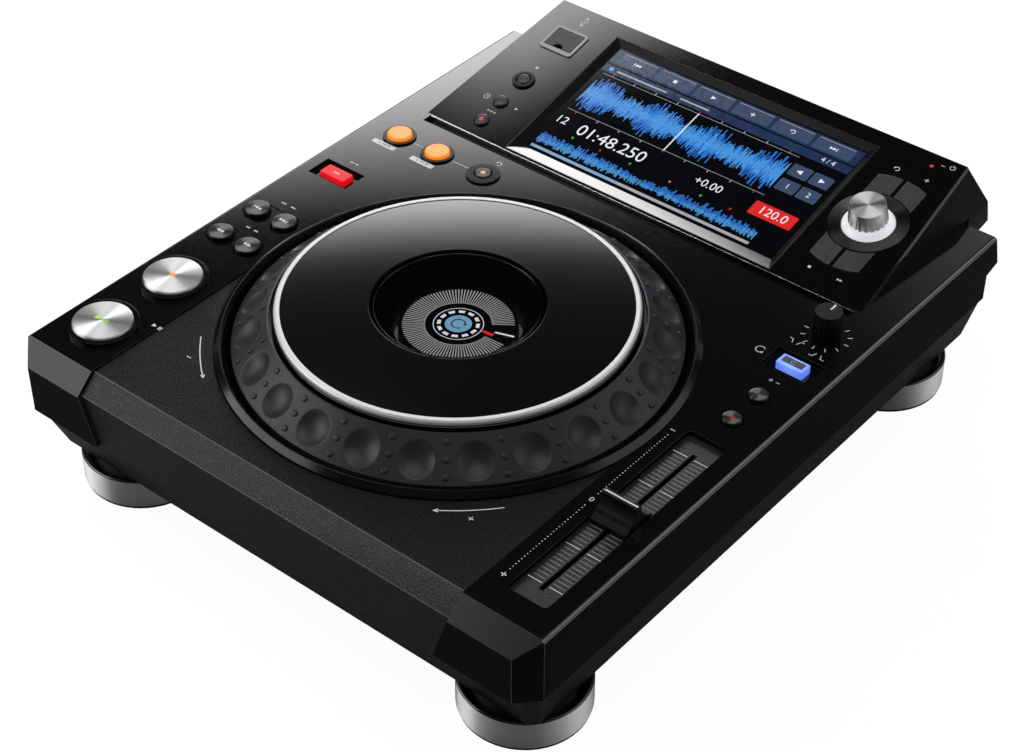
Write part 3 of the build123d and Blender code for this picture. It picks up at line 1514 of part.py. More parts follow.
tray_top = (chassis_top_half_w, front_y - chassis_top_front, rear_y, chassis_top_corner)
tray_low = (chassis_low_half_w, front_y + chassis_low_back, rear_y, chassis_low_corner)
with BuildPart() as bottom_chassis:
    with BuildSketch(Plane.XY.offset(rim_z)):
        with BuildLine():
            Polyline(*tray_outline(*tray_top), close=True)
        make_face()
    with BuildSketch(Plane.XY.offset(chassis_z)):
        with BuildLine():
            Polyline(*tray_outline(*tray_low), close=True)
        make_face()
    loft()
    with BuildSketch(Plane.XY.offset(rim_z)):
        with BuildLine():
            Polyline(
                *tray_outline(
                    tray_top[0] - chassis_t, tray_top[1] + chassis_t, rear_y - chassis_t, chassis_top_corner
                ),
                close=True,
            )
        make_face()
    with BuildSketch(Plane.XY.offset(chassis_z + chassis_t)):
        with BuildLine():
            Polyline(
                *tray_outline(
                    tray_low[0] - chassis_t, tray_low[1] + chassis_t, rear_y - chassis_t, chassis_low_corner
                ),
                close=True,
            )
        make_face()
    loft(mode=Mode.SUBTRACT)
    # Lip bars that locate the cabinet's side walls and the front panel
    lip_x = body_w / 2 - wall_t - fit_gap - chassis_lip_t / 2
    lip_front_y = panel_nose_y + panel_wall_t + fit_gap
    lip_side_y = nose_y + corner_post_l + chassis_lip_t
    with BuildSketch(Plane.XY.offset(rim_z - chassis_t)):
        for side in (-1, 1):
            with Locations((side * lip_x, (lip_side_y + rear_y - wall_t - chassis_lip_t) / 2)):
                Rectangle(chassis_lip_t, rear_y - wall_t - chassis_lip_t - lip_side_y)
        with Locations((0, lip_front_y + chassis_lip_t / 2)):
            Rectangle(2 * (panel_low_half_w - chassis_lip_t), chassis_lip_t)
    extrude(amount=chassis_t + chassis_lip_h)
    with BuildSketch(Plane.XY.offset(chassis_z + chassis_t)):
        with Locations(boss_places):
            Circle(boss_r)
    extrude(amount=boss_h)
    with BuildSketch(Plane.XY.offset(chassis_z)):
        with Locations(bottom_screws):
            Circle(screw_hole_r)
    extrude(amount=chassis_t, mode=Mode.SUBTRACT)
    with BuildSketch(Plane.XZ.offset(-(rear_y + through))):
        with Locations((0, (rim_z + through + deck_z - rear_low_drop + rear_lap) / 2)):
            Rectangle(2 * (rear_half_w - rear_margin), rear_low_drop - rear_lap - rim_drop + through)
    extrude(amount=chassis_t + 2 * through, mode=Mode.SUBTRACT)
save(bottom_chassis.part, "bottom_chassis")

# Power supply on the chassis floor
with BuildPart() as power_supply:
    with BuildSketch(Plane.XY.offset(chassis_z + chassis_t)):
        with Locations((supply_x, front_y + supply_dist)):
            Rectangle(supply_w, supply_l)
    extrude(amount=supply_h)
save(power_supply.part, "power_supply")

# Rear panel with the openings of its sockets
inlet_local_x = -inlet_x
with BuildPart() as rear_panel:
    with BuildSketch(rear_plane):
        with Locations((0, socket_drop - rear_mid_drop)):
            Rectangle(2 * rear_half_w, rear_h)
        with Locations((inlet_local_x, 0)):
            Rectangle(inlet_w + 2 * fit_gap, inlet_h + 2 * fit_gap, mode=Mode.SUBTRACT)
        with Locations((-jack_x, 0)):
            with GridLocations(jack_pitch, 1, 2, 1):
                Circle(jack_collar_r + fit_gap, mode=Mode.SUBTRACT)
        with Locations((-lan_x, 0)):
            Rectangle(lan_w + 2 * fit_gap, lan_h + 2 * fit_gap, mode=Mode.SUBTRACT)
        with Locations((-host_x, 0)):
            Rectangle(host_w + 2 * fit_gap, host_h + 2 * fit_gap, mode=Mode.SUBTRACT)
        with Locations((-power_x, 0)):
            Rectangle(power_w + 2 * button_gap, power_h + 2 * button_gap, mode=Mode.SUBTRACT)
        with Locations([(x, z + socket_drop - rear_mid_drop) for x, z in rear_screws]):
            Circle(screw_hole_r, mode=Mode.SUBTRACT)
    extrude(amount=rear_t)
save(rear_panel.part, "rear_panel")

# Mains inlet: a flanged shroud with three blades
with BuildPart() as ac_inlet:
    with BuildSketch(rear_plane.offset(rear_t)):
        with Locations((inlet_local_x, 0)):
            RectangleRounded(inlet_w + 2 * inlet_flange, inlet_h + 2 * inlet_flange, inlet_flange / 2)
    extrude(amount=inlet_flange_t)
    with BuildSketch(rear_plane.offset(rear_t)):
        with Locations((inlet_local_x, 0)):
            Rectangle(inlet_w, inlet_h)
    extrude(amount=-inlet_d)
    with BuildSketch(rear_plane.offset(rear_t + inlet_flange_t)):
        with Locations((inlet_local_x, 0)):
            Rectangle(inlet_w - 2 * inlet_wall_t, inlet_h - 2 * inlet_wall_t)
    extrude(amount=-(inlet_d + inlet_flange_t - inlet_wall_t), mode=Mode.SUBTRACT)
    with BuildSketch(rear_plane.offset(rear_t - inlet_d + inlet_wall_t)):
        for step, raise_by in ((-1, -blade_raise / 2), (0, blade_raise), (1, -blade_raise / 2)):
            with Locations((inlet_local_x + step * blade_pitch, raise_by)):
                Rectangle(blade_t, blade_w)
    extrude(amount=blade_l)
save(ac_inlet.part, "ac_inlet")

# Audio jacks: two barrels on one block behind the panel
with BuildPart() as audio_jacks:
    with BuildSketch(rear_plane):
        with Locations((-jack_x, 0)):
            Rectangle(2 * jack_pitch, jack_block_h)
    extrude(amount=-jack_block_d)
    with BuildSketch(rear_plane):
        with Locations((-jack_x, 0)):
            with GridLocations(jack_pitch, 1, 2, 1):
                Circle(jack_collar_r)
    extrude(amount=rear_t + jack_collar_t)
    with BuildSketch(rear_plane):
        with Locations((-jack_x, 0)):
            with GridLocations(jack_pitch, 1, 2, 1):
                Circle(jack_r)
    extrude(amount=rear_t + jack_l)
    with BuildSketch(rear_plane.offset(rear_t + jack_l)):
        with Locations((-jack_x, 0)):
            with GridLocations(jack_pitch, 1, 2, 1):
                Circle(jack_hole_r)
    extrude(amount=-jack_l, mode=Mode.SUBTRACT)
save(audio_jacks.part, "audio_jacks")

# Data sockets: a network jack and a host socket, flush with the panel
with BuildPart() as data_sockets:
    for x, shell_w, shell_h, open_w, open_h in (
        (-lan_x, lan_w, lan_h, lan_open_w, lan_open_h),
        (-host_x, host_w, host_h, host_open_w, host_open_h),
    ):
        with BuildSketch(rear_plane.offset(rear_t)):
            with Locations((x, 0)):
                Rectangle(shell_w, shell_h)
        extrude(amount=-socket_d)
        with BuildSketch(rear_plane.offset(rear_t)):
            with Locations((x, 0)):
                Rectangle(open_w, open_h)
        extrude(amount=-socket_open_d, mode=Mode.SUBTRACT)
save(data_sockets.part, "data_sockets")

# Power button in the rear panel, kept in by a flange
with BuildPart() as power_button:
    with BuildSketch(rear_plane.offset(rear_t + power_rise)):
        with Locations((-power_x, 0)):
            RectangleRounded(power_w, power_h, key_corner_r)
    extrude(amount=-rear_t - power_rise - flange_gap)
    with BuildSketch(rear_plane.offset(-flange_gap)):
        with Locations((-power_x, 0)):
            Rectangle(power_w + 2 * power_flange, power_h + 2 * power_flange)
    extrude(amount=-flange_t)
save(power_button.part, "power_button")

# Foot cores: a neck under the chassis that spreads into each ring
foot_core_r = foot_r - foot_ring_t - foot_gap
with BuildPart() as foot_cores:
    for x, y in feet:
        with BuildSketch(Plane(origin=(x, y, 0), x_dir=(1, 0, 0), z_dir=(0, -1, 0))):
            with BuildLine():
                Polyline(
                    (0, foot_pad_t),
                    (foot_core_r, foot_pad_t),
                    (foot_core_r, foot_ring_top - foot_cone_h),
                    (foot_neck_r, foot_ring_top),
                    (foot_neck_r, chassis_z),
                    (0, chassis_z),
                    close=True,
                )
            make_face()
        revolve(axis=Axis((x, y, 0), (0, 0, 1)))
save(foot_cores.part, "foot_cores")

# Foot rings: turned metal rings with a broken top edge
with BuildPart() as foot_rings:
    for x, y in feet:
        with BuildSketch(Plane(origin=(x, y, 0), x_dir=(1, 0, 0), z_dir=(0, -1, 0))):
            with BuildLine():
                Polyline(
                    (foot_r - foot_ring_t, foot_pad_t),
                    (foot_r, foot_pad_t),
                    (foot_r, foot_ring_top - foot_ring_edge),
                    (foot_r - foot_ring_edge, foot_ring_top),
                    (foot_r - foot_ring_t + foot_ring_edge, foot_ring_top),
                    (foot_r - foot_ring_t, foot_ring_top - foot_ring_edge),
                    close=True,
                )
            make_face()
        revolve(axis=Axis((x, y, 0), (0, 0, 1)))
save(foot_rings.part, "foot_rings")

# Rubber pads under the feet
with BuildPart() as foot_pads:
    with BuildSketch(Plane.XY):
        with Locations(feet):
            Circle(foot_pad_r)
    extrude(amount=foot_pad_t)
save(foot_pads.part, "foot_pads")

# Screws through the chassis floor and through the rear panel
with BuildPart() as case_screws:
    with BuildSketch(Plane.XY.offset(chassis_z)):
        with Locations(bottom_screws):
            Circle(screw_head_r)
    extrude(amount=-screw_head_t)
    with BuildSketch(Plane.XY.offset(chassis_z)):
        with Locations(bottom_screws):
            Circle(screw_r)
    extrude(amount=screw_l)
    with BuildSketch(rear_plane.offset(rear_t)):
        with Locations([(x, z + socket_drop - rear_mid_drop) for x, z in rear_screws]):
            Circle(screw_head_r)
    extrude(amount=screw_head_t)
    with BuildSketch(rear_plane.offset(rear_t)):
        with Locations([(x, z + socket_drop - rear_mid_drop) for x, z in rear_screws]):
            Circle(screw_r)
    extrude(amount=-rear_t)
save(case_screws.part, "case_screws")
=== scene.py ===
"""Looks of a tabletop media player deck: finishes, printed marks, lit art, studio light and camera."""
import json
import logging
import math
from dataclasses import dataclass
from enum import Enum
from typing import Callable, ClassVar, Iterable, Iterator, Optional, Sequence

import bmesh
import bpy
from mathutils import Euler, Matrix, Vector

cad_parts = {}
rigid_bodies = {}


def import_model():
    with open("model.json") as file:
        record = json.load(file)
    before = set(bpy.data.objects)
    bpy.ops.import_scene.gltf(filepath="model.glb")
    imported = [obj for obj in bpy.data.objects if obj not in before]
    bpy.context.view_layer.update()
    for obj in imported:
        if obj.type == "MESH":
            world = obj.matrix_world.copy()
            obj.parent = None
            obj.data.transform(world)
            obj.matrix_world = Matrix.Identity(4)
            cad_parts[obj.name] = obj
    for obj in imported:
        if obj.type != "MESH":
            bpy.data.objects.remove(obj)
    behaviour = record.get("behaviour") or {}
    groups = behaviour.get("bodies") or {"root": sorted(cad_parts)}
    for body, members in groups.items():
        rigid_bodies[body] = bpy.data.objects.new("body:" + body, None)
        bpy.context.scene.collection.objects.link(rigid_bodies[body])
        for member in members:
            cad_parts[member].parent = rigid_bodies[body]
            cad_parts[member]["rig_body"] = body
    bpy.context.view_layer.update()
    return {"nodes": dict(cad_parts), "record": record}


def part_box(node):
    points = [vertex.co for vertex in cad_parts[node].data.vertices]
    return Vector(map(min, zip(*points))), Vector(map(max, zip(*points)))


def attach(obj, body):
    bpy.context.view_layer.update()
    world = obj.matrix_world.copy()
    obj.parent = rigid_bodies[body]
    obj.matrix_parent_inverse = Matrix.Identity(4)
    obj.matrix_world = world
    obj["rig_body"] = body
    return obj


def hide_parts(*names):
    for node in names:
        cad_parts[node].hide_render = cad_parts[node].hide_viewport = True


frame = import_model()

LOG = logging.getLogger("deck")
MM = 0.001
Colour = tuple[float, float, float]
Point = tuple[float, float]
Profile = list[Point]
Chooser = Callable[[Vector, Vector], int]
Socket = bpy.types.NodeSocket


class Level(Enum):
    """Heights of the flat print over the surface that carries it, in millimetres."""

    LOWER = 0.03
    UPPER = 0.06
    TOP = 0.09


@dataclass(frozen=True)
class Strokes:
    """What a symbol with a half height of one is drawn with, about its middle.

    A bar has its place, width and height, a triangle its place, size and turn in degrees, and an arc its
    radius, width, first and last angle in degrees and number of steps.
    """

    bars: tuple[tuple[float, float, float, float], ...] = ()
    triangles: tuple[tuple[float, float, float, float], ...] = ()
    arcs: tuple[tuple[float, float, float, float, int], ...] = ()


class Shape(Enum):
    """Plain symbols that the print sheets can draw."""

    PLAY = Strokes(triangles=((-0.2, 0, 1.1, 0),))
    PAUSE = Strokes(bars=((-0.38, 0, 0.38, 1.5), (0.38, 0, 0.38, 1.5)))
    BACK = Strokes(bars=((-1.1, 0, 0.26, 1.3),), triangles=((0.95, 0, 0.8, 180), (-0.15, 0, 0.8, 180)))
    NEXT = Strokes(bars=((1.1, 0, 0.26, 1.3),), triangles=((-0.95, 0, 0.8, 0), (0.15, 0, 0.8, 0)))
    REWIND = Strokes(triangles=((0.55, 0, 0.8, 180), (-0.6, 0, 0.8, 180)))
    FORWARD = Strokes(triangles=((-0.55, 0, 0.8, 0), (0.6, 0, 0.8, 0)))
    SQUARE = Strokes(bars=((0, 0, 1.3, 1.3),))
    RETURN = Strokes(triangles=((-0.75, 0.2, 0.5, 250),), arcs=((0.7, 0.24, -100, 150, 20),))
    POWER = Strokes(bars=((0, 0.65, 0.22, 0.9),), arcs=((0.8, 0.22, 125, 415, 28),))
    PLUS = Strokes(bars=((0, 0, 1.7, 0.32), (0, 0, 0.32, 1.7)))
    MINUS = Strokes(bars=((0, 0, 1.7, 0.32),))
    ARROWS = Strokes(bars=((0, 0, 2.0, 0.24),), triangles=((-1.3, 0, 0.6, 180), (1.3, 0, 0.6, 0)))


@dataclass(frozen=True)
class DeckFrame:
    """Main sizes that place the deck's own planes and controls, in millimetres.

    Distances run back from the top plate's front edge, and the two strips of controls have their middle
    lines at strip_x on either side.
    """

    unit_dist: float = 256.7
    face_l: float = 108.1
    tilt_deg: float = 12.8
    hood_reach: float = 15.3
    bevel_run: float = 9.8
    deck_z: float = 83.4
    sink: float = 0.3
    jog_dist: float = 126.3
    strip_x: float = 131.4945
    fader_x: float = 131.9945
    fader_dist: float = 76.8
    speed_dist: float = 233.0
    mode_dist: float = 205.8
    reloop_x: float = -74.5
    reloop_dist: float = 232.2

    @property
    def tilt(self) -> float:
        """Gives the tilt of the display's face in radians."""
        return math.radians(self.tilt_deg)

    @property
    def front_y(self) -> float:
        """Gives the y of the top plate's front edge."""
        back = self.unit_dist + self.face_l * math.cos(self.tilt) + self.hood_reach
        return -(back - self.bevel_run) / 2

    def deck(self, x: float = 0.0, dist: float = 0.0, rise: float = 0.0) -> Matrix:
        """Gives the plane of the top plate with its origin at a place on it.

        Args:
            x: place across the deck.
            dist: distance back from the plate's front edge.
            rise: height over the plate.

        Returns:
            A matrix from the plane's millimetres to metres.
        """
        return Matrix.Scale(MM, 4) @ Matrix.Translation((x, self.front_y + dist, self.deck_z + rise))

    def face(self, x: float = 0.0, s: float = 0.0, rise: float = 0.0) -> Matrix:
        """Gives the display's tilted face plane with its origin at a place on it.

        Args:
            x: place across the deck.
            s: distance up the face from its front edge.
            rise: height over the face.

        Returns:
            A matrix from the plane's millimetres to metres.
        """
        foot = Matrix.Translation((0, self.front_y + self.unit_dist, self.deck_z - self.sink))
        turn = Matrix.Rotation(self.tilt, 4, "X")
        return Matrix.Scale(MM, 4) @ foot @ turn @ Matrix.Translation((x, s, rise))

    def jog(self, rise: float = 0.0) -> Matrix:
        """Gives the plane across the jog wheel's axis at a height over the plate."""
        return self.deck(0.0, self.jog_dist, rise)


PLACE = DeckFrame()
# Name of the mesh attribute that carries the feet rings' painted reflection bands.
PAINTED_SHEEN = "painted_sheen"
NOISE_LOW = 0.3
NOISE_HIGH = 0.7


def tinted(colour: Colour, share: float) -> Colour:
    """Gives a colour with each of its parts scaled by a share."""
    red, green, blue = colour
    return red * share, green * share, blue * share


def rectangle(x: float, y: float, w: float, h: float) -> list[Point]:
    """Gives a rectangle's outline about a middle, anticlockwise."""
    left, right, front, back = x - w / 2, x + w / 2, y - h / 2, y + h / 2
    return [(left, front), (right, front), (right, back), (left, back)]


def round_points(x: float, y: float, r: float, angles: Iterable[float]) -> list[Point]:
    """Gives the points of a circle at angles in radians."""
    return [(x + r * math.cos(angle), y + r * math.sin(angle)) for angle in angles]


def linked(name: str, data: bpy.types.ID) -> bpy.types.Object:
    """Makes an object that holds a mesh, curve, camera or lamp, and links it to the scene.

    Args:
        name: the object's name.
        data: what it holds.

    Returns:
        The object.
    """
    made = bpy.data.objects.new(name, data)
    bpy.context.scene.collection.objects.link(made)
    return made


def baked(carrier: bpy.types.Object, name: str) -> bpy.types.Mesh:
    """Turns a working object's evaluated shape into a plain mesh and removes the object.

    Args:
        carrier: the working object.
        name: the mesh's name.

    Returns:
        The mesh.
    """
    view = bpy.context.evaluated_depsgraph_get()
    made = bpy.data.meshes.new_from_object(carrier.evaluated_get(view))
    made.name = name
    carrier.modifiers.clear()
    bpy.data.objects.remove(carrier)
    return made


class NodeDraft:
    """A node tree in the making, with short ways to add to it."""

    def __init__(self, tree: bpy.types.NodeTree) -> None:
        """Takes the tree to add to."""
        self.tree = tree

    def node(self, kind: str, inputs: Optional[dict] = None, **settings: object) -> bpy.types.Node:
        """Adds a node.

        Args:
            kind: the node's type name.
            inputs: values or sockets for its inputs, by name or number.
            settings: the node's own properties.

        Returns:
            The new node.
        """
        made = self.tree.nodes.new(kind)
        for name, value in settings.items():
            setattr(made, name, value)
        for key, value in (inputs or {}).items():
            if isinstance(value, Socket):
                self.tree.links.new(value, made.inputs[key])
            else:
                made.inputs[key].default_value = value
        return made

    def math(self, kind: str, *sources: object) -> Socket:
        """Adds a Math node.

        Args:
            kind: the operation.
            sources: sockets or numbers for its inputs.

        Returns:
            The result's socket.
        """
        return self.node("ShaderNodeMath", dict(enumerate(sources)), operation=kind).outputs[0]

    def vector(self, kind: str, *sources: object) -> Socket:
        """Adds a Vector Math node and gives its vector."""
        return self.node("ShaderNodeVectorMath", dict(enumerate(sources)), operation=kind).outputs[0]

    def length(self, vector: Socket) -> Socket:
        """Gives a vector's length."""
        return self.node("ShaderNodeVectorMath", {0: vector}, operation="LENGTH").outputs["Value"]


class Shading(NodeDraft):
    """A material in the making: its node tree and short ways to add to it."""

    def __init__(self, name: str) -> None:
        """Starts a material with one Principled shader.

        Args:
            name: the material's name.
        """
        self.material = bpy.data.materials.new(name)
        self.material.use_nodes = True
        super().__init__(self.material.node_tree)
        self.shader = self.tree.nodes["Principled BSDF"]

    def feed(self, socket: str, source: Socket) -> None:
        """Links a source to one of the shader's sockets."""
        self.tree.links.new(source, self.shader.inputs[socket])

    def fix(self, socket: str, value: object) -> None:
        """Sets a constant on one of the shader's sockets."""
        self.shader.inputs[socket].default_value = value

    def place(self, centre: Sequence[float] = (0, 0, 0), turn: Sequence[float] = (0, 0, 0)) -> Socket:
        """Gives Object coordinates in millimetres about a centre.

        Args:
            centre: the pattern's middle, in metres.
            turn: the pattern's turn, in radians.

        Returns:
            The mapped vector socket.
        """
        coord = self.node("ShaderNodeTexCoord")
        moved = self.vector("SUBTRACT", coord.outputs["Object"], tuple(centre))
        mapped = self.node("ShaderNodeMapping",
                           {"Vector": moved, "Rotation": tuple(turn), "Scale": (1 / MM,) * 3})
        return mapped.outputs["Vector"]

    def noise(self, vector: Socket, grain: float, detail: float = 3.0) -> Socket:
        """Gives noise whose lumps are about a grain's size in millimetres."""
        made = self.node("ShaderNodeTexNoise", {"Vector": vector, "Scale": 1.0 / grain, "Detail": detail})
        return made.outputs["Fac"]

    def span(self, value: Socket, low: float, high: float, start: float = 0.0, stop: float = 1.0) -> Socket:
        """Maps a value's range to another.

        Args:
            value: the source.
            low: result at start.
            high: result at stop.
            start: the source's value that gives low.
            stop: the source's value that gives high.

        Returns:
            The mapped socket.
        """
        made = self.node("ShaderNodeMapRange", {0: value, 1: start, 2: stop, 3: low, 4: high})
        return made.outputs[0]

    def blend(self, factor: Socket, one: Colour, two: Colour) -> Socket:
        """Mixes two colours by a factor."""
        made = self.node("ShaderNodeMix", {0: factor, 6: (*one, 1.0), 7: (*two, 1.0)}, data_type="RGBA")
        return made.outputs[2]

    def bump(self, height: Socket, depth: float) -> None:
        """Raises the surface by a height field, depth in millimetres."""
        made = self.node("ShaderNodeBump", {"Height": height, "Distance": depth * MM, "Strength": 1.0})
        self.feed("Normal", made.outputs["Normal"])

    def gloss(self, pattern: Socket, roughness: float, swing: float) -> None:
        """Lets the roughness swing with a pattern.

        Args:
            pattern: noise, taken over its usual range.
            roughness: the middle roughness.
            swing: how far it goes either way.
        """
        low, high = roughness - swing, roughness + swing
        self.feed("Roughness", self.span(pattern, low, high, NOISE_LOW, NOISE_HIGH))


@dataclass(frozen=True)
class Finish:
    """A moulded, painted or lit surface with fine mottle, grain and uneven gloss."""

    name: str
    colour: Colour
    roughness: float
    metallic: float = 0.0
    specular: float = 0.5
    mottle: float = 0.12
    grain: float = 0.5
    depth: float = 0.0
    swing: float = 0.04
    glow: Optional[Colour] = None
    strength: float = 0.0
    cloud_grains: ClassVar[float] = 6
    glow_dim: ClassVar[float] = 0.92

    def begin(self) -> Shading:
        """Starts the finish's shader with its constants.

        Returns:
            The shading to add patterns to.
        """
        shading = Shading(self.name)
        shading.fix("Metallic", self.metallic)
        shading.fix("Specular IOR Level", self.specular)
        return shading

    def dress(self, shading: Shading) -> None:
        """Adds mottle, uneven gloss, grain and glow to the shader.

        Args:
            shading: the finish's shader.
        """
        vector = shading.place()
        cloud = shading.noise(vector, self.grain * self.cloud_grains, 4.0)
        low = tinted(self.colour, 1 - self.mottle)
        high = tinted(self.colour, 1 + self.mottle)
        shading.feed("Base Color", shading.blend(cloud, low, high))
        shading.gloss(cloud, self.roughness, self.swing)
        if self.depth > 0:
            shading.bump(shading.noise(vector, self.grain, 2.0), self.depth)
        if self.glow is not None:
            dim = tinted(self.glow, self.glow_dim)
            shading.feed("Emission Color", shading.blend(cloud, dim, self.glow))
            shading.fix("Emission Strength", self.strength)

    def material(self) -> bpy.types.Material:
        """Gives the finish's material, made once.

        Returns:
            The material.
        """
        known = bpy.data.materials.get(self.name)
        if known is not None and known.get("deck_finish"):
            return known
        shading = self.begin()
        self.dress(shading)
        shading.material["deck_finish"] = True
        return shading.material


@dataclass(frozen=True)
class LeatherGrain(Finish):
    """Moulded leather grain: small raised cells with dark creases between them."""

    cell: float = 0.9
    warp_scale: ClassVar[float] = 0.6
    warp_share: ClassVar[float] = 0.35
    crease_w: ClassVar[float] = 0.28
    crease_shade: ClassVar[float] = 0.3
    crest_shade: ClassVar[float] = 2.4

    def dress(self, shading: Shading) -> None:
        """Adds the cells, their creases and fine noise.

        Args:
            shading: the finish's shader.
        """
        vector = shading.place()
        warp = shading.node("ShaderNodeTexNoise",
                            {"Vector": vector, "Scale": self.warp_scale, "Detail": 2.0})
        moved = shading.node("ShaderNodeMix", {0: self.warp_share, 4: vector, 5: warp.outputs["Color"]},
                             data_type="VECTOR")
        pattern = {"Vector": vector, "Scale": 1.0 / self.cell, "Randomness": 1.0}
        cells = shading.node("ShaderNodeTexVoronoi", pattern, feature="DISTANCE_TO_EDGE")
        crest = shading.span(cells.outputs["Distance"], 0.0, 1.0, 0.0, self.crease_w)
        fine = shading.noise(moved.outputs[1], self.cell * 0.5, 3.0)
        height = shading.math("MULTIPLY", crest, fine)
        low = tinted(self.colour, self.crease_shade)
        high = tinted(self.colour, self.crest_shade)
        shading.feed("Base Color", shading.blend(height, low, high))
        shading.gloss(fine, self.roughness, self.swing)
        shading.bump(height, self.depth)


@dataclass(frozen=True)
class DomedGloss(Finish):
    """Gloss paint on a disc that is very slightly domed about its centre."""

    centre: tuple[float, float, float] = (0.0, 0.0, 0.0)
    reach: float = 83.0
    lean_deg: float = 0.9

    def dress(self, shading: Shading) -> None:
        """Adds the lean of the normals, fine mottle and uneven gloss.

        Args:
            shading: the finish's shader.
        """
        vector = shading.place(self.centre)
        cloud = shading.noise(vector, self.grain, 2.0)
        high = tinted(self.colour, 1 + self.mottle)
        shading.feed("Base Color", shading.blend(cloud, self.colour, high))
        shading.gloss(cloud, self.roughness, self.swing)
        share = math.tan(math.radians(self.lean_deg)) / self.reach
        lean = shading.vector("MULTIPLY", vector, (share, share, 0.0))
        turned = shading.node("ShaderNodeVectorTransform", {0: lean}, vector_type="VECTOR",
                              convert_from="OBJECT", convert_to="WORLD")
        own = shading.node("ShaderNodeNewGeometry")
        both = shading.vector("ADD", own.outputs["Normal"], turned.outputs[0])
        shading.feed("Normal", shading.vector("NORMALIZE", both))


@dataclass(frozen=True)
class SpunMetal(Finish):
    """Metal turned on a lathe: fine rings about a centre, with a gloss that fans round it."""

    centre: tuple[float, float, float] = (0.0, 0.0, 0.0)
    tilt: float = 0.0
    pitch: float = 0.16
    streak: float = 0.75
    depth: float = 0.001
    furrow_shade: ClassVar[float] = 0.82

    def dress(self, shading: Shading) -> None:
        """Adds the rings and the gloss along them.

        Args:
            shading: the finish's shader.
        """
        vector = shading.place(self.centre, (-self.tilt, 0, 0))
        flat = shading.vector("MULTIPLY", vector, (1.0, 1.0, 0.0))
        line = shading.node("ShaderNodeCombineXYZ", {0: shading.length(flat)})
        rings = shading.noise(line.outputs[0], self.pitch, 2.0)
        low = tinted(self.colour, self.furrow_shade)
        shading.feed("Base Color", shading.blend(rings, low, self.colour))
        shading.gloss(rings, self.roughness, self.swing)
        back = shading.node("ShaderNodeVectorRotate", {"Vector": flat, "Angle": self.tilt},
                            rotation_type="X_AXIS")
        shading.feed("Tangent", shading.vector("NORMALIZE", back.outputs[0]))
        shading.fix("Anisotropic", self.streak)
        shading.bump(rings, self.depth)


@dataclass(frozen=True)
class TurnedWall(Finish):
    """Metal turned on an upright axis: fine level rings that draw the gloss out up and down."""

    pitch: float = 0.25
    furrow_shade: ClassVar[float] = 0.85

    def tone(self, shading: Shading, rings: Socket) -> Socket:
        """Gives the colour, a little darker in the furrows of the rings."""
        return shading.blend(rings, tinted(self.colour, self.furrow_shade), self.colour)

    def dress(self, shading: Shading) -> None:
        """Adds the level rings and the gloss across them.

        Args:
            shading: the finish's shader.
        """
        vector = shading.place()
        line = shading.vector("MULTIPLY", vector, (0.0, 0.0, 1.0))
        rings = shading.noise(line, self.pitch, 2.0)
        shading.feed("Base Color", self.tone(shading, rings))
        shading.gloss(rings, self.roughness, self.swing)
        up = shading.node("ShaderNodeCombineXYZ", {2: 1.0})
        shading.feed("Tangent", up.outputs[0])
        shading.fix("Anisotropic", 1.0)


@dataclass(frozen=True)
class PaintedSheenWall(TurnedWall):
    """Turned metal with painted reflection: its colour brightens and dims in soft bands round the piece."""

    # Colour of the painted dark reflection bands; the finish's own colour is that of the bright ones.
    dim: Colour = (0.2, 0.2, 0.195)

    def tone(self, shading: Shading, rings: Socket) -> Socket:
        """Gives the colour by the painted reflection bands, which the mesh carries as an attribute."""
        sheen_bands = shading.node("ShaderNodeAttribute", attribute_name=PAINTED_SHEEN)
        return shading.blend(sheen_bands.outputs["Fac"], self.dim, self.colour)


@dataclass(frozen=True)
class LitCap(Finish):
    """A translucent cap lit from inside: brightest in the middle, deeper at its rim."""

    centre: tuple[float, float, float] = (0.0, 0.0, 0.0)
    reach: float = 7.0
    rim: Colour = (1.0, 0.3, 0.02)
    cloud_grain: ClassVar[float] = 1.4
    cloud_share: ClassVar[float] = 1.2
    bright_r: ClassVar[float] = 0.5
    rim_shade: ClassVar[float] = 0.7

    def dress(self, shading: Shading) -> None:
        """Adds the fall of light from the middle to the rim.

        Args:
            shading: the finish's shader.
        """
        vector = shading.place(self.centre)
        cloud = shading.noise(vector, self.cloud_grain, 2.0)
        uneven = shading.math("MULTIPLY_ADD", cloud, self.cloud_share, shading.length(vector))
        dark_r = self.reach + self.cloud_share / 2
        fall = shading.span(uneven, 0.0, 1.0, self.bright_r, dark_r)
        shading.feed("Base Color", shading.blend(fall, self.colour, tinted(self.rim, self.rim_shade)))
        shading.feed("Emission Color", shading.blend(fall, self.glow, self.rim))
        shading.fix("Emission Strength", self.strength)
        shading.gloss(cloud, self.roughness, self.swing)


@dataclass(frozen=True)
class ClearPane(Finish):
    """A clear, faintly smoked pane."""

    cloud_grain: ClassVar[float] = 9.0
    smoke: ClassVar[float] = 0.97
    refraction: ClassVar[float] = 1.35

    def dress(self, shading: Shading) -> None:
        """Makes the pane clear with a trace of uneven gloss.

        Args:
            shading: the finish's shader.
        """
        vector = shading.place()
        cloud = shading.noise(vector, self.cloud_grain, 2.0)
        shading.feed("Base Color", shading.blend(cloud, tinted(self.colour, self.smoke), self.colour))
        shading.gloss(cloud, self.roughness, self.swing)
        shading.fix("Transmission Weight", 1.0)
        shading.fix("IOR", self.refraction)


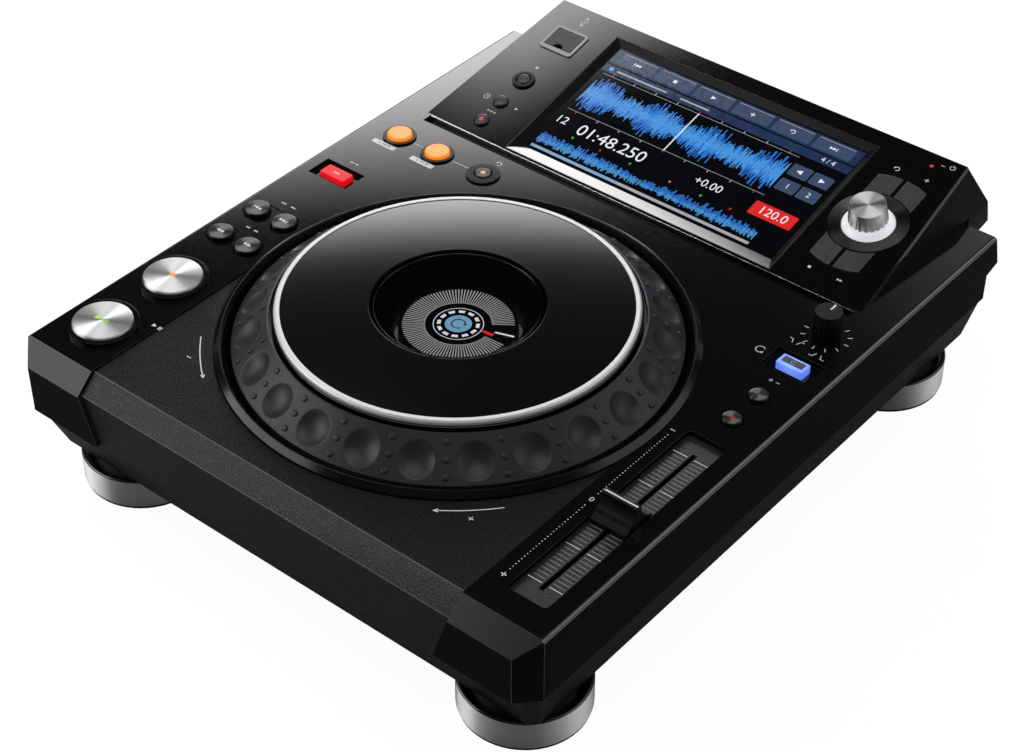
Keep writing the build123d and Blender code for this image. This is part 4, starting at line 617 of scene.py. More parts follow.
@dataclass(frozen=True)
class Finishes:
    """Every finish on the deck."""

    top: Finish = Finish("cabinet_top", (0.003, 0.003, 0.0032), 0.06, swing=0.01, depth=0.0003)
    chamfer: Finish = Finish("cabinet_chamfer", (0.0045, 0.0045, 0.0047), 0.28, specular=0.3, mottle=0.05,
                             swing=0.01)
    side: Finish = Finish("cabinet_side", (0.0042, 0.0042, 0.0044), 0.5, specular=0.008, grain=0.4,
                          depth=0.01)
    grain: Finish = LeatherGrain("front_leather_grain", (0.012, 0.012, 0.0125), 0.5, specular=0.05,
                                 depth=0.3, cell=1.1)
    # Grain on the panel's sloping edge: glossier, and lighter in colour as painted light on that slope.
    grain_slope_painted_light: Finish = LeatherGrain("front_leather_slope_painted_light", (0.023, 0.023, 0.0239), 0.42, specular=0.3,
                                      depth=0.25, cell=1.1)
    # Rounded cabinet edges: glossier than the top, and lighter in colour as a painted highlight line.
    edge: Finish = Finish("cabinet_edge_highlight", (0.012, 0.012, 0.0124), 0.22, specular=1.0, mottle=0.1)
    # Light colour on the front panel's rounded front edges: a painted highlight line.
    grain_rim_painted_highlight: Finish = Finish("front_edge_painted_highlight", (0.06, 0.06, 0.062), 0.42, mottle=0.5, depth=0.02)
    throat: Finish = Finish("surround_gloss", (0.0035, 0.0035, 0.0037), 0.16, specular=0.25, swing=0.02)
    inner: Finish = Finish("inner_moulding", (0.01, 0.01, 0.01), 0.6, specular=0.2, depth=0.01)
    bush: Finish = Finish("bush_plastic", (0.6, 0.6, 0.57), 0.5)
    rubber: Finish = Finish("dial_rubber", (0.016, 0.016, 0.0166), 0.4, specular=0.26, grain=0.3,
                            depth=0.008)
    plate: Finish = DomedGloss("jog_plate_gloss", (0.0012, 0.00125, 0.0013), 0.075, specular=1.0, mottle=0.4,
                               swing=0.01, centre=(0.0, -0.0575, 0.0), lean_deg=1.0)
    trim: Finish = Finish("trim_satin_silver", (0.52, 0.52, 0.515), 0.42, metallic=0.4, mottle=0.05,
                          grain=0.6)
    pane: Finish = ClearPane("jog_window_clear", (0.86, 0.87, 0.88), 0.01, swing=0.01)
    well: Finish = Finish("jog_well_black", (0.0006, 0.0006, 0.0006), 0.6, specular=0.0)
    housing: Finish = Finish("housing_gloss", (0.0035, 0.0035, 0.0037), 0.1, swing=0.02, grain=0.4,
                             depth=0.0005)
    housing_side: Finish = Finish("housing_side", (0.005, 0.005, 0.0052), 0.42, specular=0.03, depth=0.008)
    face: Finish = Finish("display_face_gloss", (0.003, 0.003, 0.0032), 0.06, swing=0.01, grain=0.4,
                          depth=0.0003)
    bezel: Finish = Finish("screen_bezel_dark", (0.006, 0.006, 0.0062), 0.3, specular=0.08, mottle=0.08)
    sill: Finish = Finish("screen_sill_bright", (0.095, 0.095, 0.097), 0.12, metallic=1.0, mottle=0.04,
                          swing=0.02)
    glass: Finish = Finish("touch_glass_dark", (0.0028, 0.0032, 0.0045), 0.05, specular=0.3, mottle=0.05,
                           swing=0.004)
    lcd: Finish = Finish("display_module", (0.01, 0.012, 0.02), 0.4)
    lit_white: Finish = Finish("lit_white", (0.7, 0.71, 0.72), 0.3, glow=(0.93, 0.97, 1.0), strength=0.42)
    usb_frame: Finish = Finish("usb_frame_satin", (0.32, 0.32, 0.325), 0.36, metallic=0.4, mottle=0.06)
    lid: Finish = Finish("lid_satin_grey", (0.035, 0.035, 0.037), 0.38, depth=0.006)
    steel: Finish = Finish("plain_steel", (0.5, 0.5, 0.51), 0.35, metallic=1.0)
    ring: Finish = Finish("button_ring_gloss", (0.003, 0.003, 0.0032), 0.09, specular=0.15, depth=0.0006)
    segment: Finish = Finish("segment_gloss_grey", (0.044, 0.044, 0.0455), 0.2, depth=0.003)
    board: Finish = Finish("circuit_board", (0.03, 0.16, 0.07), 0.5, mottle=0.3)
    chrome: Finish = TurnedWall("knob_chrome", (0.86, 0.86, 0.86), 0.36, metallic=1.0)
    knob: Finish = Finish("knob_satin_black", (0.005, 0.005, 0.0053), 0.34, specular=0.06, depth=0.004)
    scale: Finish = Finish("scale_plate_grey", (0.013, 0.013, 0.0134), 0.3, specular=0.3, grain=0.3,
                           depth=0.004)
    slot_dark: Finish = Finish("slot_dark", (0.002, 0.002, 0.002), 0.7, specular=0.05)
    cap: Finish = Finish("cap_satin_black", (0.0035, 0.0035, 0.0037), 0.3, specular=0.12, depth=0.004)
    chassis: Finish = Finish("chassis_paint", (0.005, 0.005, 0.0052), 0.5, specular=0.015, grain=0.6,
                             depth=0.02)
    rear: Finish = Finish("rear_paint", (0.008, 0.008, 0.0083), 0.45, specular=0.25, depth=0.015)
    socket: Finish = Finish("socket_black", (0.008, 0.008, 0.008), 0.5, specular=0.3, depth=0.006)
    brass: Finish = Finish("jack_plating", (0.75, 0.58, 0.27), 0.22, metallic=1.0, mottle=0.06)
    # Feet rings: turned metal with painted reflection bands in their colour.
    foot_ring: Finish = PaintedSheenWall("foot_metal_painted_sheen", (0.85, 0.85, 0.83), 0.36, metallic=1.0)
    foot_lip: Finish = Finish("foot_lip_black", (0.006, 0.006, 0.006), 0.22, depth=0.004)
    # A bright metal strip printed as a painted highlight along the display face's front edge.
    painted_sheen: Finish = Finish("painted_edge_highlight", (0.8, 0.8, 0.8), 0.25, metallic=1.0)
    foot_core: Finish = Finish("foot_core_black", (0.006, 0.006, 0.006), 0.45, specular=0.05, depth=0.01)
    foot_pad: Finish = Finish("foot_rubber", (0.01, 0.01, 0.01), 0.75, specular=0.2, depth=0.02)
    screw: Finish = Finish("screw_black", (0.02, 0.02, 0.02), 0.35, metallic=0.8, mottle=0.2)
    ink: Finish = Finish("print_white", (0.62, 0.62, 0.62), 0.45, specular=0.3, mottle=0.05)
    ink_grey: Finish = Finish("print_grey", (0.28, 0.28, 0.28), 0.45, specular=0.3, mottle=0.05)
    ink_dark: Finish = Finish("print_dark", (0.02, 0.02, 0.02), 0.45, specular=0.3)
    red_led: Finish = Finish("led_red", (0.04, 0.002, 0.002), 0.3, glow=(0.85, 0.012, 0.02), strength=0.95)
    red_dim: Finish = Finish("led_red_dim", (0.02, 0.001, 0.001), 0.3, specular=0.2,
                             glow=(0.25, 0.003, 0.006), strength=0.8)
    orange_led: Finish = Finish("led_orange", (0.04, 0.014, 0.002), 0.3, glow=(0.95, 0.24, 0.02),
                                strength=0.95)
    green_led: Finish = Finish("led_green", (0.015, 0.04, 0.002), 0.3, glow=(0.36, 0.8, 0.01),
                               strength=0.95)
    art_white: Finish = Finish("art_white", (0.02, 0.02, 0.02), 0.1, glow=(0.85, 0.88, 0.92), strength=0.95)
    art_grey: Finish = Finish("art_grey", (0.02, 0.02, 0.02), 0.1, glow=(0.42, 0.43, 0.44), strength=0.9)
    art_blue: Finish = Finish("art_blue", (0.005, 0.01, 0.02), 0.1, glow=(0.022, 0.17, 0.62), strength=0.95)
    art_sky: Finish = Finish("art_sky", (0.005, 0.01, 0.02), 0.1, glow=(0.1, 0.42, 0.82), strength=0.95)
    art_slate: Finish = Finish("art_slate", (0.005, 0.006, 0.01), 0.1, glow=(0.045, 0.072, 0.135),
                               strength=0.95)
    art_navy: Finish = Finish("art_navy", (0.004, 0.005, 0.008), 0.1, glow=(0.012, 0.028, 0.085),
                              strength=0.95)
    art_red: Finish = Finish("art_red", (0.02, 0.002, 0.002), 0.1, glow=(0.78, 0.02, 0.02), strength=0.95)
    art_green: Finish = Finish("art_green", (0.002, 0.02, 0.002), 0.1, glow=(0.08, 0.6, 0.08), strength=0.95)
    art_orange: Finish = Finish("art_orange", (0.02, 0.008, 0.002), 0.1, glow=(0.85, 0.25, 0.03),
                                strength=0.95)
    art_pale: Finish = Finish("art_pale_blue", (0.01, 0.02, 0.03), 0.1, glow=(0.18, 0.42, 0.62),
                              strength=0.9)


FIN = Finishes()


class MeshDraft:
    """Points and faces of one piece in millimetres, before they become a mesh."""

    pole_r: ClassVar[float] = 1e-6

    def __init__(self) -> None:
        """Starts empty."""
        self.points: list[tuple[float, float, float]] = []
        self.faces: list[tuple[int, ...]] = []
        self.slots: list[int] = []

    def add(self, points: Iterable[Sequence[float]], faces: Iterable[Sequence[int]], slot: int = 0) -> None:
        """Adds points and faces.

        Args:
            points: the points.
            faces: corner numbers that count from the first of those points.
            slot: material number.
        """
        base = len(self.points)
        self.points.extend(tuple(p) for p in points)
        for face in faces:
            self.faces.append(tuple(base + i for i in face))
            self.slots.append(slot)

    def polygon(self, outline: Sequence[Point], rise: float, slot: int = 0) -> None:
        """Adds one flat polygon, its outline given anticlockwise."""
        self.add([(x, y, rise) for x, y in outline], [range(len(outline))], slot)

    def lathe(self, profile: Profile, segments: int, slot: int = 0) -> None:
        """Turns a profile about the z axis, closing it at a pole where its radius is nought.

        Args:
            profile: radius and height pairs, from the outside foot up and in.
            segments: how many steps round.
            slot: material number.
        """
        points: list[tuple[float, float, float]] = []
        rows: list[list[int]] = []
        for radius, height in profile:
            if radius < self.pole_r:
                rows.append([len(points)] * segments)
                points.append((0.0, 0.0, height))
                continue
            rows.append(list(range(len(points), len(points) + segments)))
            for i in range(segments):
                angle = 2 * math.pi * i / segments
                points.append((radius * math.cos(angle), radius * math.sin(angle), height))
        faces = []
        for lower, upper in zip(rows, rows[1:]):
            for i in range(segments):
                j = (i + 1) % segments
                corner = dict.fromkeys((lower[i], lower[j], upper[j], upper[i]))
                if len(corner) > 2:
                    faces.append(tuple(corner))
        self.add(points, faces, slot)

    def mesh(self, name: str, place: Matrix, finishes: Sequence[Finish]) -> bpy.types.Mesh:
        """Turns the draft into a mesh in metres.

        Args:
            name: the mesh's name.
            place: matrix from the draft's millimetres to metres.
            finishes: one finish for each material number.

        Returns:
            The mesh.
        """
        made = bpy.data.meshes.new(name)
        made.from_pydata(self.points, [], self.faces)
        made.transform(place)
        for finish in finishes:
            made.materials.append(finish.material())
        made.polygons.foreach_set("material_index", self.slots)
        made.update()
        return made


class Workshop:
    """Turns meshes into pieces of the deck and hands them to the frame."""

    join_gap: ClassVar[float] = 2e-6
    least_edge: ClassVar[float] = 1e-6
    flat_angle: ClassVar[float] = math.radians(0.3)
    sharp_angle: ClassVar[float] = math.radians(33)

    @staticmethod
    def smooth(mesh: bpy.types.Mesh, angle: float = 40.0) -> None:
        """Gives each corner a normal led by its largest faces, so flats stay flat and curves run on.

        Args:
            mesh: the mesh to shade.
            angle: faces that turn away by more than this many degrees are left out of a corner's normal.
        """
        mesh.shade_smooth()
        normals = [face.normal.copy() for face in mesh.polygons]
        areas = [face.area for face in mesh.polygons]
        around: list[list[int]] = [[] for _ in mesh.vertices]
        for face in mesh.polygons:
            for vertex in face.vertices:
                around[vertex].append(face.index)
        limit = math.cos(math.radians(angle))
        corners = []
        for face in mesh.polygons:
            own = normals[face.index]
            for vertex in face.vertices:
                total = Vector((0.0, 0.0, 0.0))
                for other in around[vertex]:
                    if own.dot(normals[other]) > limit:
                        total += normals[other] * areas[other]
                corners.append(total.normalized() if total.length > 0 else own)
        mesh.normals_split_custom_set(corners)

    @staticmethod
    def put(name: str, mesh: bpy.types.Mesh, body: str, slot: str,
            nodes: Sequence[str] = ()) -> bpy.types.Object:
        """Links a mesh as a piece that rides on a body.

        Args:
            name: the piece's name.
            mesh: its mesh, in place.
            body: the CAD body that carries it.
            slot: the record's material slot; not used.
            nodes: CAD nodes that it stands for.

        Returns:
            The piece.
        """
        piece = linked(name, mesh)
        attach(piece, body)
        if nodes:
            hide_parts(*nodes)
        LOG.info("%s on %s, %d faces", name, body, len(mesh.polygons))
        return piece

    @staticmethod
    def record_of(node: str) -> tuple[str, str]:
        """Gives a CAD node's body and material slot.

        Args:
            node: the node's name.

        Returns:
            The body's name and the slot's name.
        """
        body = frame["nodes"][node]["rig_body"]
        for part in frame["record"]["subparts"]:
            if part["node"] == node:
                return body, part["material_slot"]
        raise KeyError(node)

    def merged(self, node: str) -> bmesh.types.BMesh:
        """Copies a CAD node with its loose triangles joined into whole faces.

        Args:
            node: the node's name.

        Returns:
            The joined copy.
        """
        work = bmesh.new()
        work.from_mesh(frame["nodes"][node].data)
        bmesh.ops.remove_doubles(work, verts=work.verts, dist=self.join_gap)
        bmesh.ops.dissolve_degenerate(work, edges=work.edges, dist=self.least_edge)
        bmesh.ops.dissolve_limit(work, angle_limit=self.flat_angle, verts=work.verts, edges=work.edges,
                                 use_dissolve_boundaries=False)
        return work

    def soften(self, node: str, finishes: Sequence[Finish], bevel: float = 0.3,
               choose: Optional[Chooser] = None, segments: int = 2,
               edges: Optional[Chooser] = None) -> bpy.types.Object:
        """Replaces a CAD node by a copy with broken edges and smooth curves.

        Args:
            node: the node's name.
            finishes: the finishes it may carry.
            bevel: width of the broken edges in millimetres.
            choose: picks a finish by a face's normal and middle, the middle in millimetres.
            segments: steps across each broken edge.
            edges: picks a finish for the faces of the broken edges, if they differ from the rest.

        Returns:
            The piece.
        """
        work = self.merged(node)
        mesh = bpy.data.meshes.new(node + "_soft")
        work.to_mesh(mesh)
        work.free()
        for finish in finishes:
            mesh.materials.append(finish.material())
        rim = len(finishes) - 1 if edges is not None else -1
        if bevel > 0:
            mesh = self.bevelled(mesh, bevel, segments, rim)
        for face in mesh.polygons:
            pick = edges if edges is not None and face.material_index == rim else choose
            face.material_index = pick(face.normal, face.center / MM) if pick is not None else 0
        self.smooth(mesh)
        body, slot = self.record_of(node)
        return self.put(node + "_soft", mesh, body, slot, [node])

    def bevelled(self, mesh: bpy.types.Mesh, width: float, segments: int, slot: int = -1) -> bpy.types.Mesh:
        """Breaks a mesh's sharp edges.

        Args:
            mesh: the mesh to work on.
            width: the bevel's width in millimetres.
            segments: steps across it.
            slot: the material slot of the new faces, or -1 to keep their neighbours'.

        Returns:
            The bevelled mesh.
        """
        carrier = linked(mesh.name + "_work", mesh)
        tool = carrier.modifiers.new("edges", "BEVEL")
        tool.width = width * MM
        tool.segments = segments
        tool.limit_method = "ANGLE"
        tool.angle_limit = self.sharp_angle
        tool.use_clamp_overlap = True
        tool.material = slot
        return baked(carrier, mesh.name)

    def grow(self, name: str, draft: MeshDraft, tree: bpy.types.NodeTree, values: dict[str, object],
             place: Matrix, finish: Finish) -> bpy.types.Mesh:
        """Repeats a draft with a Geometry Nodes tree and gives the result as a plain mesh.

        Args:
            name: the mesh's name.
            draft: the shape that is repeated.
            tree: the node tree.
            values: the tree's inputs by name.
            place: matrix from millimetres to metres.
            finish: the finish that the tree sets.

        Returns:
            The mesh in place.
        """
        carrier = linked(name + "_seed", draft.mesh(name, Matrix.Identity(4), []))
        tool = carrier.modifiers.new("repeat", "NODES")
        tool.node_group = tree
        wanted = {**values, "Material": finish.material()}
        for item in tree.interface.items_tree:
            if item.item_type == "SOCKET" and item.in_out == "INPUT" and item.name in wanted:
                tool[item.identifier] = wanted[item.name]
        made = baked(carrier, name)
        made.transform(place)
        return made


class RepeatTree(NodeDraft):
    """A Geometry Nodes tree in the making that repeats the shape it is given."""

    def __init__(self, name: str, inputs: Sequence[tuple[str, str, object]]) -> None:
        """Makes the tree with its sockets and its two end nodes.

        Args:
            name: the tree's name.
            inputs: name, socket type and first value of each input.
        """
        super().__init__(bpy.data.node_groups.new(name, "GeometryNodeTree"))
        face = self.tree.interface
        face.new_socket("Geometry", in_out="INPUT", socket_type="NodeSocketGeometry")
        for label, kind, value in inputs:
            face.new_socket(label, in_out="INPUT", socket_type="NodeSocket" + kind).default_value = value
        face.new_socket("Material", in_out="INPUT", socket_type="NodeSocketMaterial")
        face.new_socket("Geometry", in_out="OUTPUT", socket_type="NodeSocketGeometry")
        self.source = self.node("NodeGroupInput")
        self.out = self.node("NodeGroupOutput")

    def given(self, label: str) -> Socket:
        """Gives one of the tree's inputs."""
        return self.source.outputs[label]

    def end(self, points: Socket, **copying: Socket) -> bpy.types.NodeTree:
        """Puts the input shape on points, realizes the copies and sets their material.

        Args:
            points: the points.
            copying: Rotation or Scale of each copy.

        Returns:
            The finished tree.
        """
        copies = self.node("GeometryNodeInstanceOnPoints",
                           {"Points": points, "Instance": self.given("Geometry"), **copying})
        real = self.node("GeometryNodeRealizeInstances", {"Geometry": copies.outputs["Instances"]})
        paint = self.node("GeometryNodeSetMaterial",
                          {"Geometry": real.outputs["Geometry"], "Material": self.given("Material")})
        self.tree.links.new(paint.outputs["Geometry"], self.out.inputs["Geometry"])
        return self.tree


def circle_tree() -> bpy.types.NodeTree:
    """Builds the tree that puts copies round a circle, each turned outwards.

    Returns:
        The tree.
    """
    inputs = [("Count", "Int", 8), ("Radius", "Float", 10.0), ("Start", "Float", 0.0),
              ("Step", "Float", 0.1)]
    draft = RepeatTree("round_a_circle", inputs)
    line = draft.node("GeometryNodeMeshLine", {"Count": draft.given("Count"), "Offset": (0, 0, 0)})
    index = draft.node("GeometryNodeInputIndex").outputs[0]
    angle = draft.math("MULTIPLY_ADD", index, draft.given("Step"), draft.given("Start"))
    across = draft.math("MULTIPLY", draft.math("COSINE", angle), draft.given("Radius"))
    along = draft.math("MULTIPLY", draft.math("SINE", angle), draft.given("Radius"))
    spot = draft.node("ShaderNodeCombineXYZ", {0: across, 1: along})
    move = draft.node("GeometryNodeSetPosition",
                      {"Geometry": line.outputs["Mesh"], "Position": spot.outputs[0]})
    angles = draft.node("ShaderNodeCombineXYZ", {2: angle})
    turn = draft.node("FunctionNodeEulerToRotation", {0: angles.outputs[0]})
    return draft.end(move.outputs["Geometry"], Rotation=turn.outputs[0])


def row_tree() -> bpy.types.NodeTree:
    """Builds the tree that puts copies along a straight row.

    Returns:
        The tree.
    """
    draft = RepeatTree("along_a_row", [("Count", "Int", 8), ("Step", "Vector", (0, 1, 0))])
    line = draft.node("GeometryNodeMeshLine", {"Count": draft.given("Count"), "Offset": draft.given("Step")})
    return draft.end(line.outputs["Mesh"])


def bars_tree(swell_depth: float = 0.22) -> bpy.types.NodeTree:
    """Builds the tree that draws a level as bars of uneven height with a slow swell.

    Args:
        swell_depth: share of the height that swells.

    Returns:
        The tree.
    """
    inputs = [("Count", "Int", 80), ("Pitch", "Float", 1.0), ("Low", "Float", 0.3), ("Seed", "Int", 1),
              ("Swell", "Float", 0.2)]
    draft = RepeatTree("level_bars", inputs)
    step = draft.node("ShaderNodeCombineXYZ", {0: draft.given("Pitch")})
    line = draft.node("GeometryNodeMeshLine", {"Count": draft.given("Count"), "Offset": step.outputs[0]})
    chance = draft.node("FunctionNodeRandomValue",
                        {2: draft.given("Low"), 3: 1.0, "Seed": draft.given("Seed")})
    index = draft.node("GeometryNodeInputIndex").outputs[0]
    wave = draft.math("SINE", draft.math("MULTIPLY", index, draft.given("Swell")))
    swell = draft.math("MULTIPLY_ADD", wave, swell_depth, 1 - swell_depth)
    tall = draft.math("MULTIPLY", chance.outputs[1], swell)
    size = draft.node("ShaderNodeCombineXYZ", {0: 1.0, 1: tall, 2: 1.0})
    return draft.end(line.outputs["Mesh"], Scale=size.outputs[0])


SHOP = Workshop()
CIRCLE = circle_tree()
ROW = row_tree()
BARS = bars_tree()


class PrintSheet:
    """Flat marks on one surface: they share a plane, a body and a list of inks."""

    corner_steps: ClassVar[int] = 4
    tip_and_tails: ClassVar[tuple[tuple[float, float], ...]] = ((0, 1.0), (125, 0.85), (235, 0.85))

    def __init__(self, name: str, place: Matrix, inks: Sequence[Finish]) -> None:
        """Starts an empty sheet.

        Args:
            name: the piece's name.
            place: matrix from the sheet's millimetres to metres.
            inks: the finishes by number.
        """
        self.name = name
        self.place = place
        self.inks = list(inks)
        self.draft = MeshDraft()

    def patch(self, outline: Sequence[Point], ink: int = 0, level: Level = Level.LOWER) -> None:
        """Prints one polygon."""
        self.draft.polygon(outline, level.value, ink)

    def bar(self, x: float, y: float, w: float, h: float, ink: int = 0, level: Level = Level.LOWER) -> None:
        """Prints a rectangle about a middle."""
        self.patch(rectangle(x, y, w, h), ink, level)

    def plate(self, x: float, y: float, w: float, h: float, r: float, ink: int = 0,
              level: Level = Level.LOWER) -> None:
        """Prints a rectangle with round corners.

        Args:
            x: its middle across.
            y: its middle along.
            w: its width.
            h: its height.
            r: the corners' radius.
            ink: its finish number.
            level: its height over the surface.
        """
        outline = []
        for sx, sy, first in ((1, 1, 0), (-1, 1, 90), (-1, -1, 180), (1, -1, 270)):
            for step in range(self.corner_steps + 1):
                angle = math.radians(first + step * 90 / self.corner_steps)
                across = x + sx * (w / 2 - r) + r * math.cos(angle)
                along = y + sy * (h / 2 - r) + r * math.sin(angle)
                outline.append((across, along))
        self.patch(outline, ink, level)

    def line(self, points: Sequence[Point], width: float, ink: int = 0, level: Level = Level.LOWER) -> None:
        """Prints a line of even width.

        Args:
            points: the points it runs through.
            width: its width.
            ink: its finish number.
            level: its height over the surface.
        """
        left: list[Point] = []
        right: list[Point] = []
        for i, (x, y) in enumerate(points):
            ahead = points[min(i + 1, len(points) - 1)]
            behind = points[max(i - 1, 0)]
            dx, dy = ahead[0] - behind[0], ahead[1] - behind[1]
            size = math.hypot(dx, dy) or 1.0
            nx, ny = -dy / size * width / 2, dx / size * width / 2
            left.append((x + nx, y + ny))
            right.append((x - nx, y - ny))
        count = len(points)
        corners = [(px, py, level.value) for px, py in right + left]
        self.draft.add(corners, [(i, i + 1, count + i + 1, count + i) for i in range(count - 1)], ink)

    def arc(self, x: float, y: float, r: float, width: float, start: float, stop: float, ink: int = 0,
            level: Level = Level.LOWER, steps: int = 48) -> None:
        """Prints part of a ring about a centre, between two angles in degrees."""
        angles = [math.radians(start + (stop - start) * i / steps) for i in range(steps + 1)]
        self.line(round_points(x, y, r, angles), width, ink, level)

    def disc(self, x: float, y: float, r: float, ink: int = 0, level: Level = Level.LOWER,
             steps: int = 40) -> None:
        """Prints a full round spot."""
        angles = [2 * math.pi * i / steps for i in range(steps)]
        self.patch(round_points(x, y, r, angles), ink, level)

    def triangle(self, x: float, y: float, size: float, turn: float, ink: int = 0,
                 level: Level = Level.LOWER) -> None:
        """Prints a triangle that points along a turn in degrees."""
        corners = [(math.radians(turn + angle), size * reach) for angle, reach in self.tip_and_tails]
        self.patch([(x + r * math.cos(angle), y + r * math.sin(angle)) for angle, r in corners], ink, level)

    def digits(self, text: str, x: float, y: float, size: float, ink: int = 0,
               level: Level = Level.LOWER) -> None:
        """Prints plain numerals.

        Args:
            text: the numerals.
            x: their middle across.
            y: their middle along.
            size: the type's size.
            ink: their finish number.
            level: their height over the surface.
        """
        curve = bpy.data.curves.new("numerals", "FONT")
        curve.body = text
        curve.size = size
        curve.align_x = "CENTER"
        curve.align_y = "CENTER"
        curve.resolution_u = 3
        mesh = baked(linked("numerals_work", curve), "numerals")
        self.draft.add([(v.co.x + x, v.co.y + y, level.value) for v in mesh.vertices],
                       [tuple(p.vertices) for p in mesh.polygons], ink)
        bpy.data.meshes.remove(mesh)

    def symbol(self, shape: Shape, x: float, y: float, size: float, ink: int = 0,
               level: Level = Level.LOWER) -> None:
        """Prints a plain symbol with its middle at a place.

        Args:
            shape: which symbol.
            x: its middle across.
            y: its middle along.
            size: half its height.
            ink: its finish number.
            level: its height over the surface.
        """
        for px, py, w, h in shape.value.bars:
            self.bar(x + px * size, y + py * size, w * size, h * size, ink, level)
        for px, py, reach, turn in shape.value.triangles:
            self.triangle(x + px * size, y + py * size, reach * size, turn, ink, level)
        for r, width, start, stop, steps in shape.value.arcs:
            self.arc(x, y, r * size, width * size, start, stop, ink, level, steps)

    def done(self, body: str, slot: str) -> bpy.types.Object:
        """Makes the sheet a piece that rides on a body."""
        return SHOP.put(self.name, self.draft.mesh(self.name, self.place, self.inks), body, slot)


def upward(limit: float) -> Chooser:
    """Gives a chooser that picks finish 0 for faces that look up and 1 for the rest.

    Args:
        limit: least upward share of a normal.

    Returns:
        The chooser.
    """
    return lambda normal, middle: 0 if normal.z > limit else 1


def top_middle(node: str) -> tuple[float, float, float]:
    """Gives the middle of a CAD node's top, in metres."""
    low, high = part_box(node)
    return (low.x + high.x) / 2, (low.y + high.y) / 2, high.z


def spun(name: str, node: str, colour: Colour, roughness: float, tilt: float = 0.0, streak: float = 0.75,
         metallic: float = 1.0) -> SpunMetal:
    """Gives a spun finish centred on a CAD node.

    Args:
        name: the finish's name.
        node: the node.
        colour: the metal's colour.
        roughness: its roughness across the rings.
        tilt: the face's tilt in radians.
        streak: how far the gloss follows the rings.
        metallic: how metallic it is.

    Returns:
        The finish.
    """
    low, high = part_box(node)
    middle = (low + high) / 2
    return SpunMetal(name, colour, roughness, metallic=metallic, centre=(middle.x, middle.y, middle.z),
                     tilt=tilt, streak=streak)


@dataclass(frozen=True)
class SoftBox:
    """A soft box in the sky, its places in degrees.

    The azimuths first and last run from the back over the right, edge is the half width of the soft edges
    between them, and the heights say where it starts, is full, is still full and ends.
    """

    first: float
    last: float
    edge: float
    heights: tuple[float, float, float, float]
    power: float


SOFT_BOXES = (
    SoftBox(-52, -29.5, 4, (2, 8, 31, 35.7), 9.5),
    SoftBox(-58, -46, 3, (43, 45, 48, 51), 8.0),
    SoftBox(-26, -4, 6, (20, 26, 34, 40), 1.4),
    SoftBox(-108, -88, 5, (42, 47, 53, 58), 5.0),
    SoftBox(0, 30, 8, (40, 44, 50, 54), 1.2),
    SoftBox(20, 75, 12, (12, 20, 40, 50), 1.9),
    SoftBox(130, 176, 14, (14, 24, 44, 58), 0.15),
    SoftBox(60, 112, 14, (4, 12, 30, 46), 0.6),
)


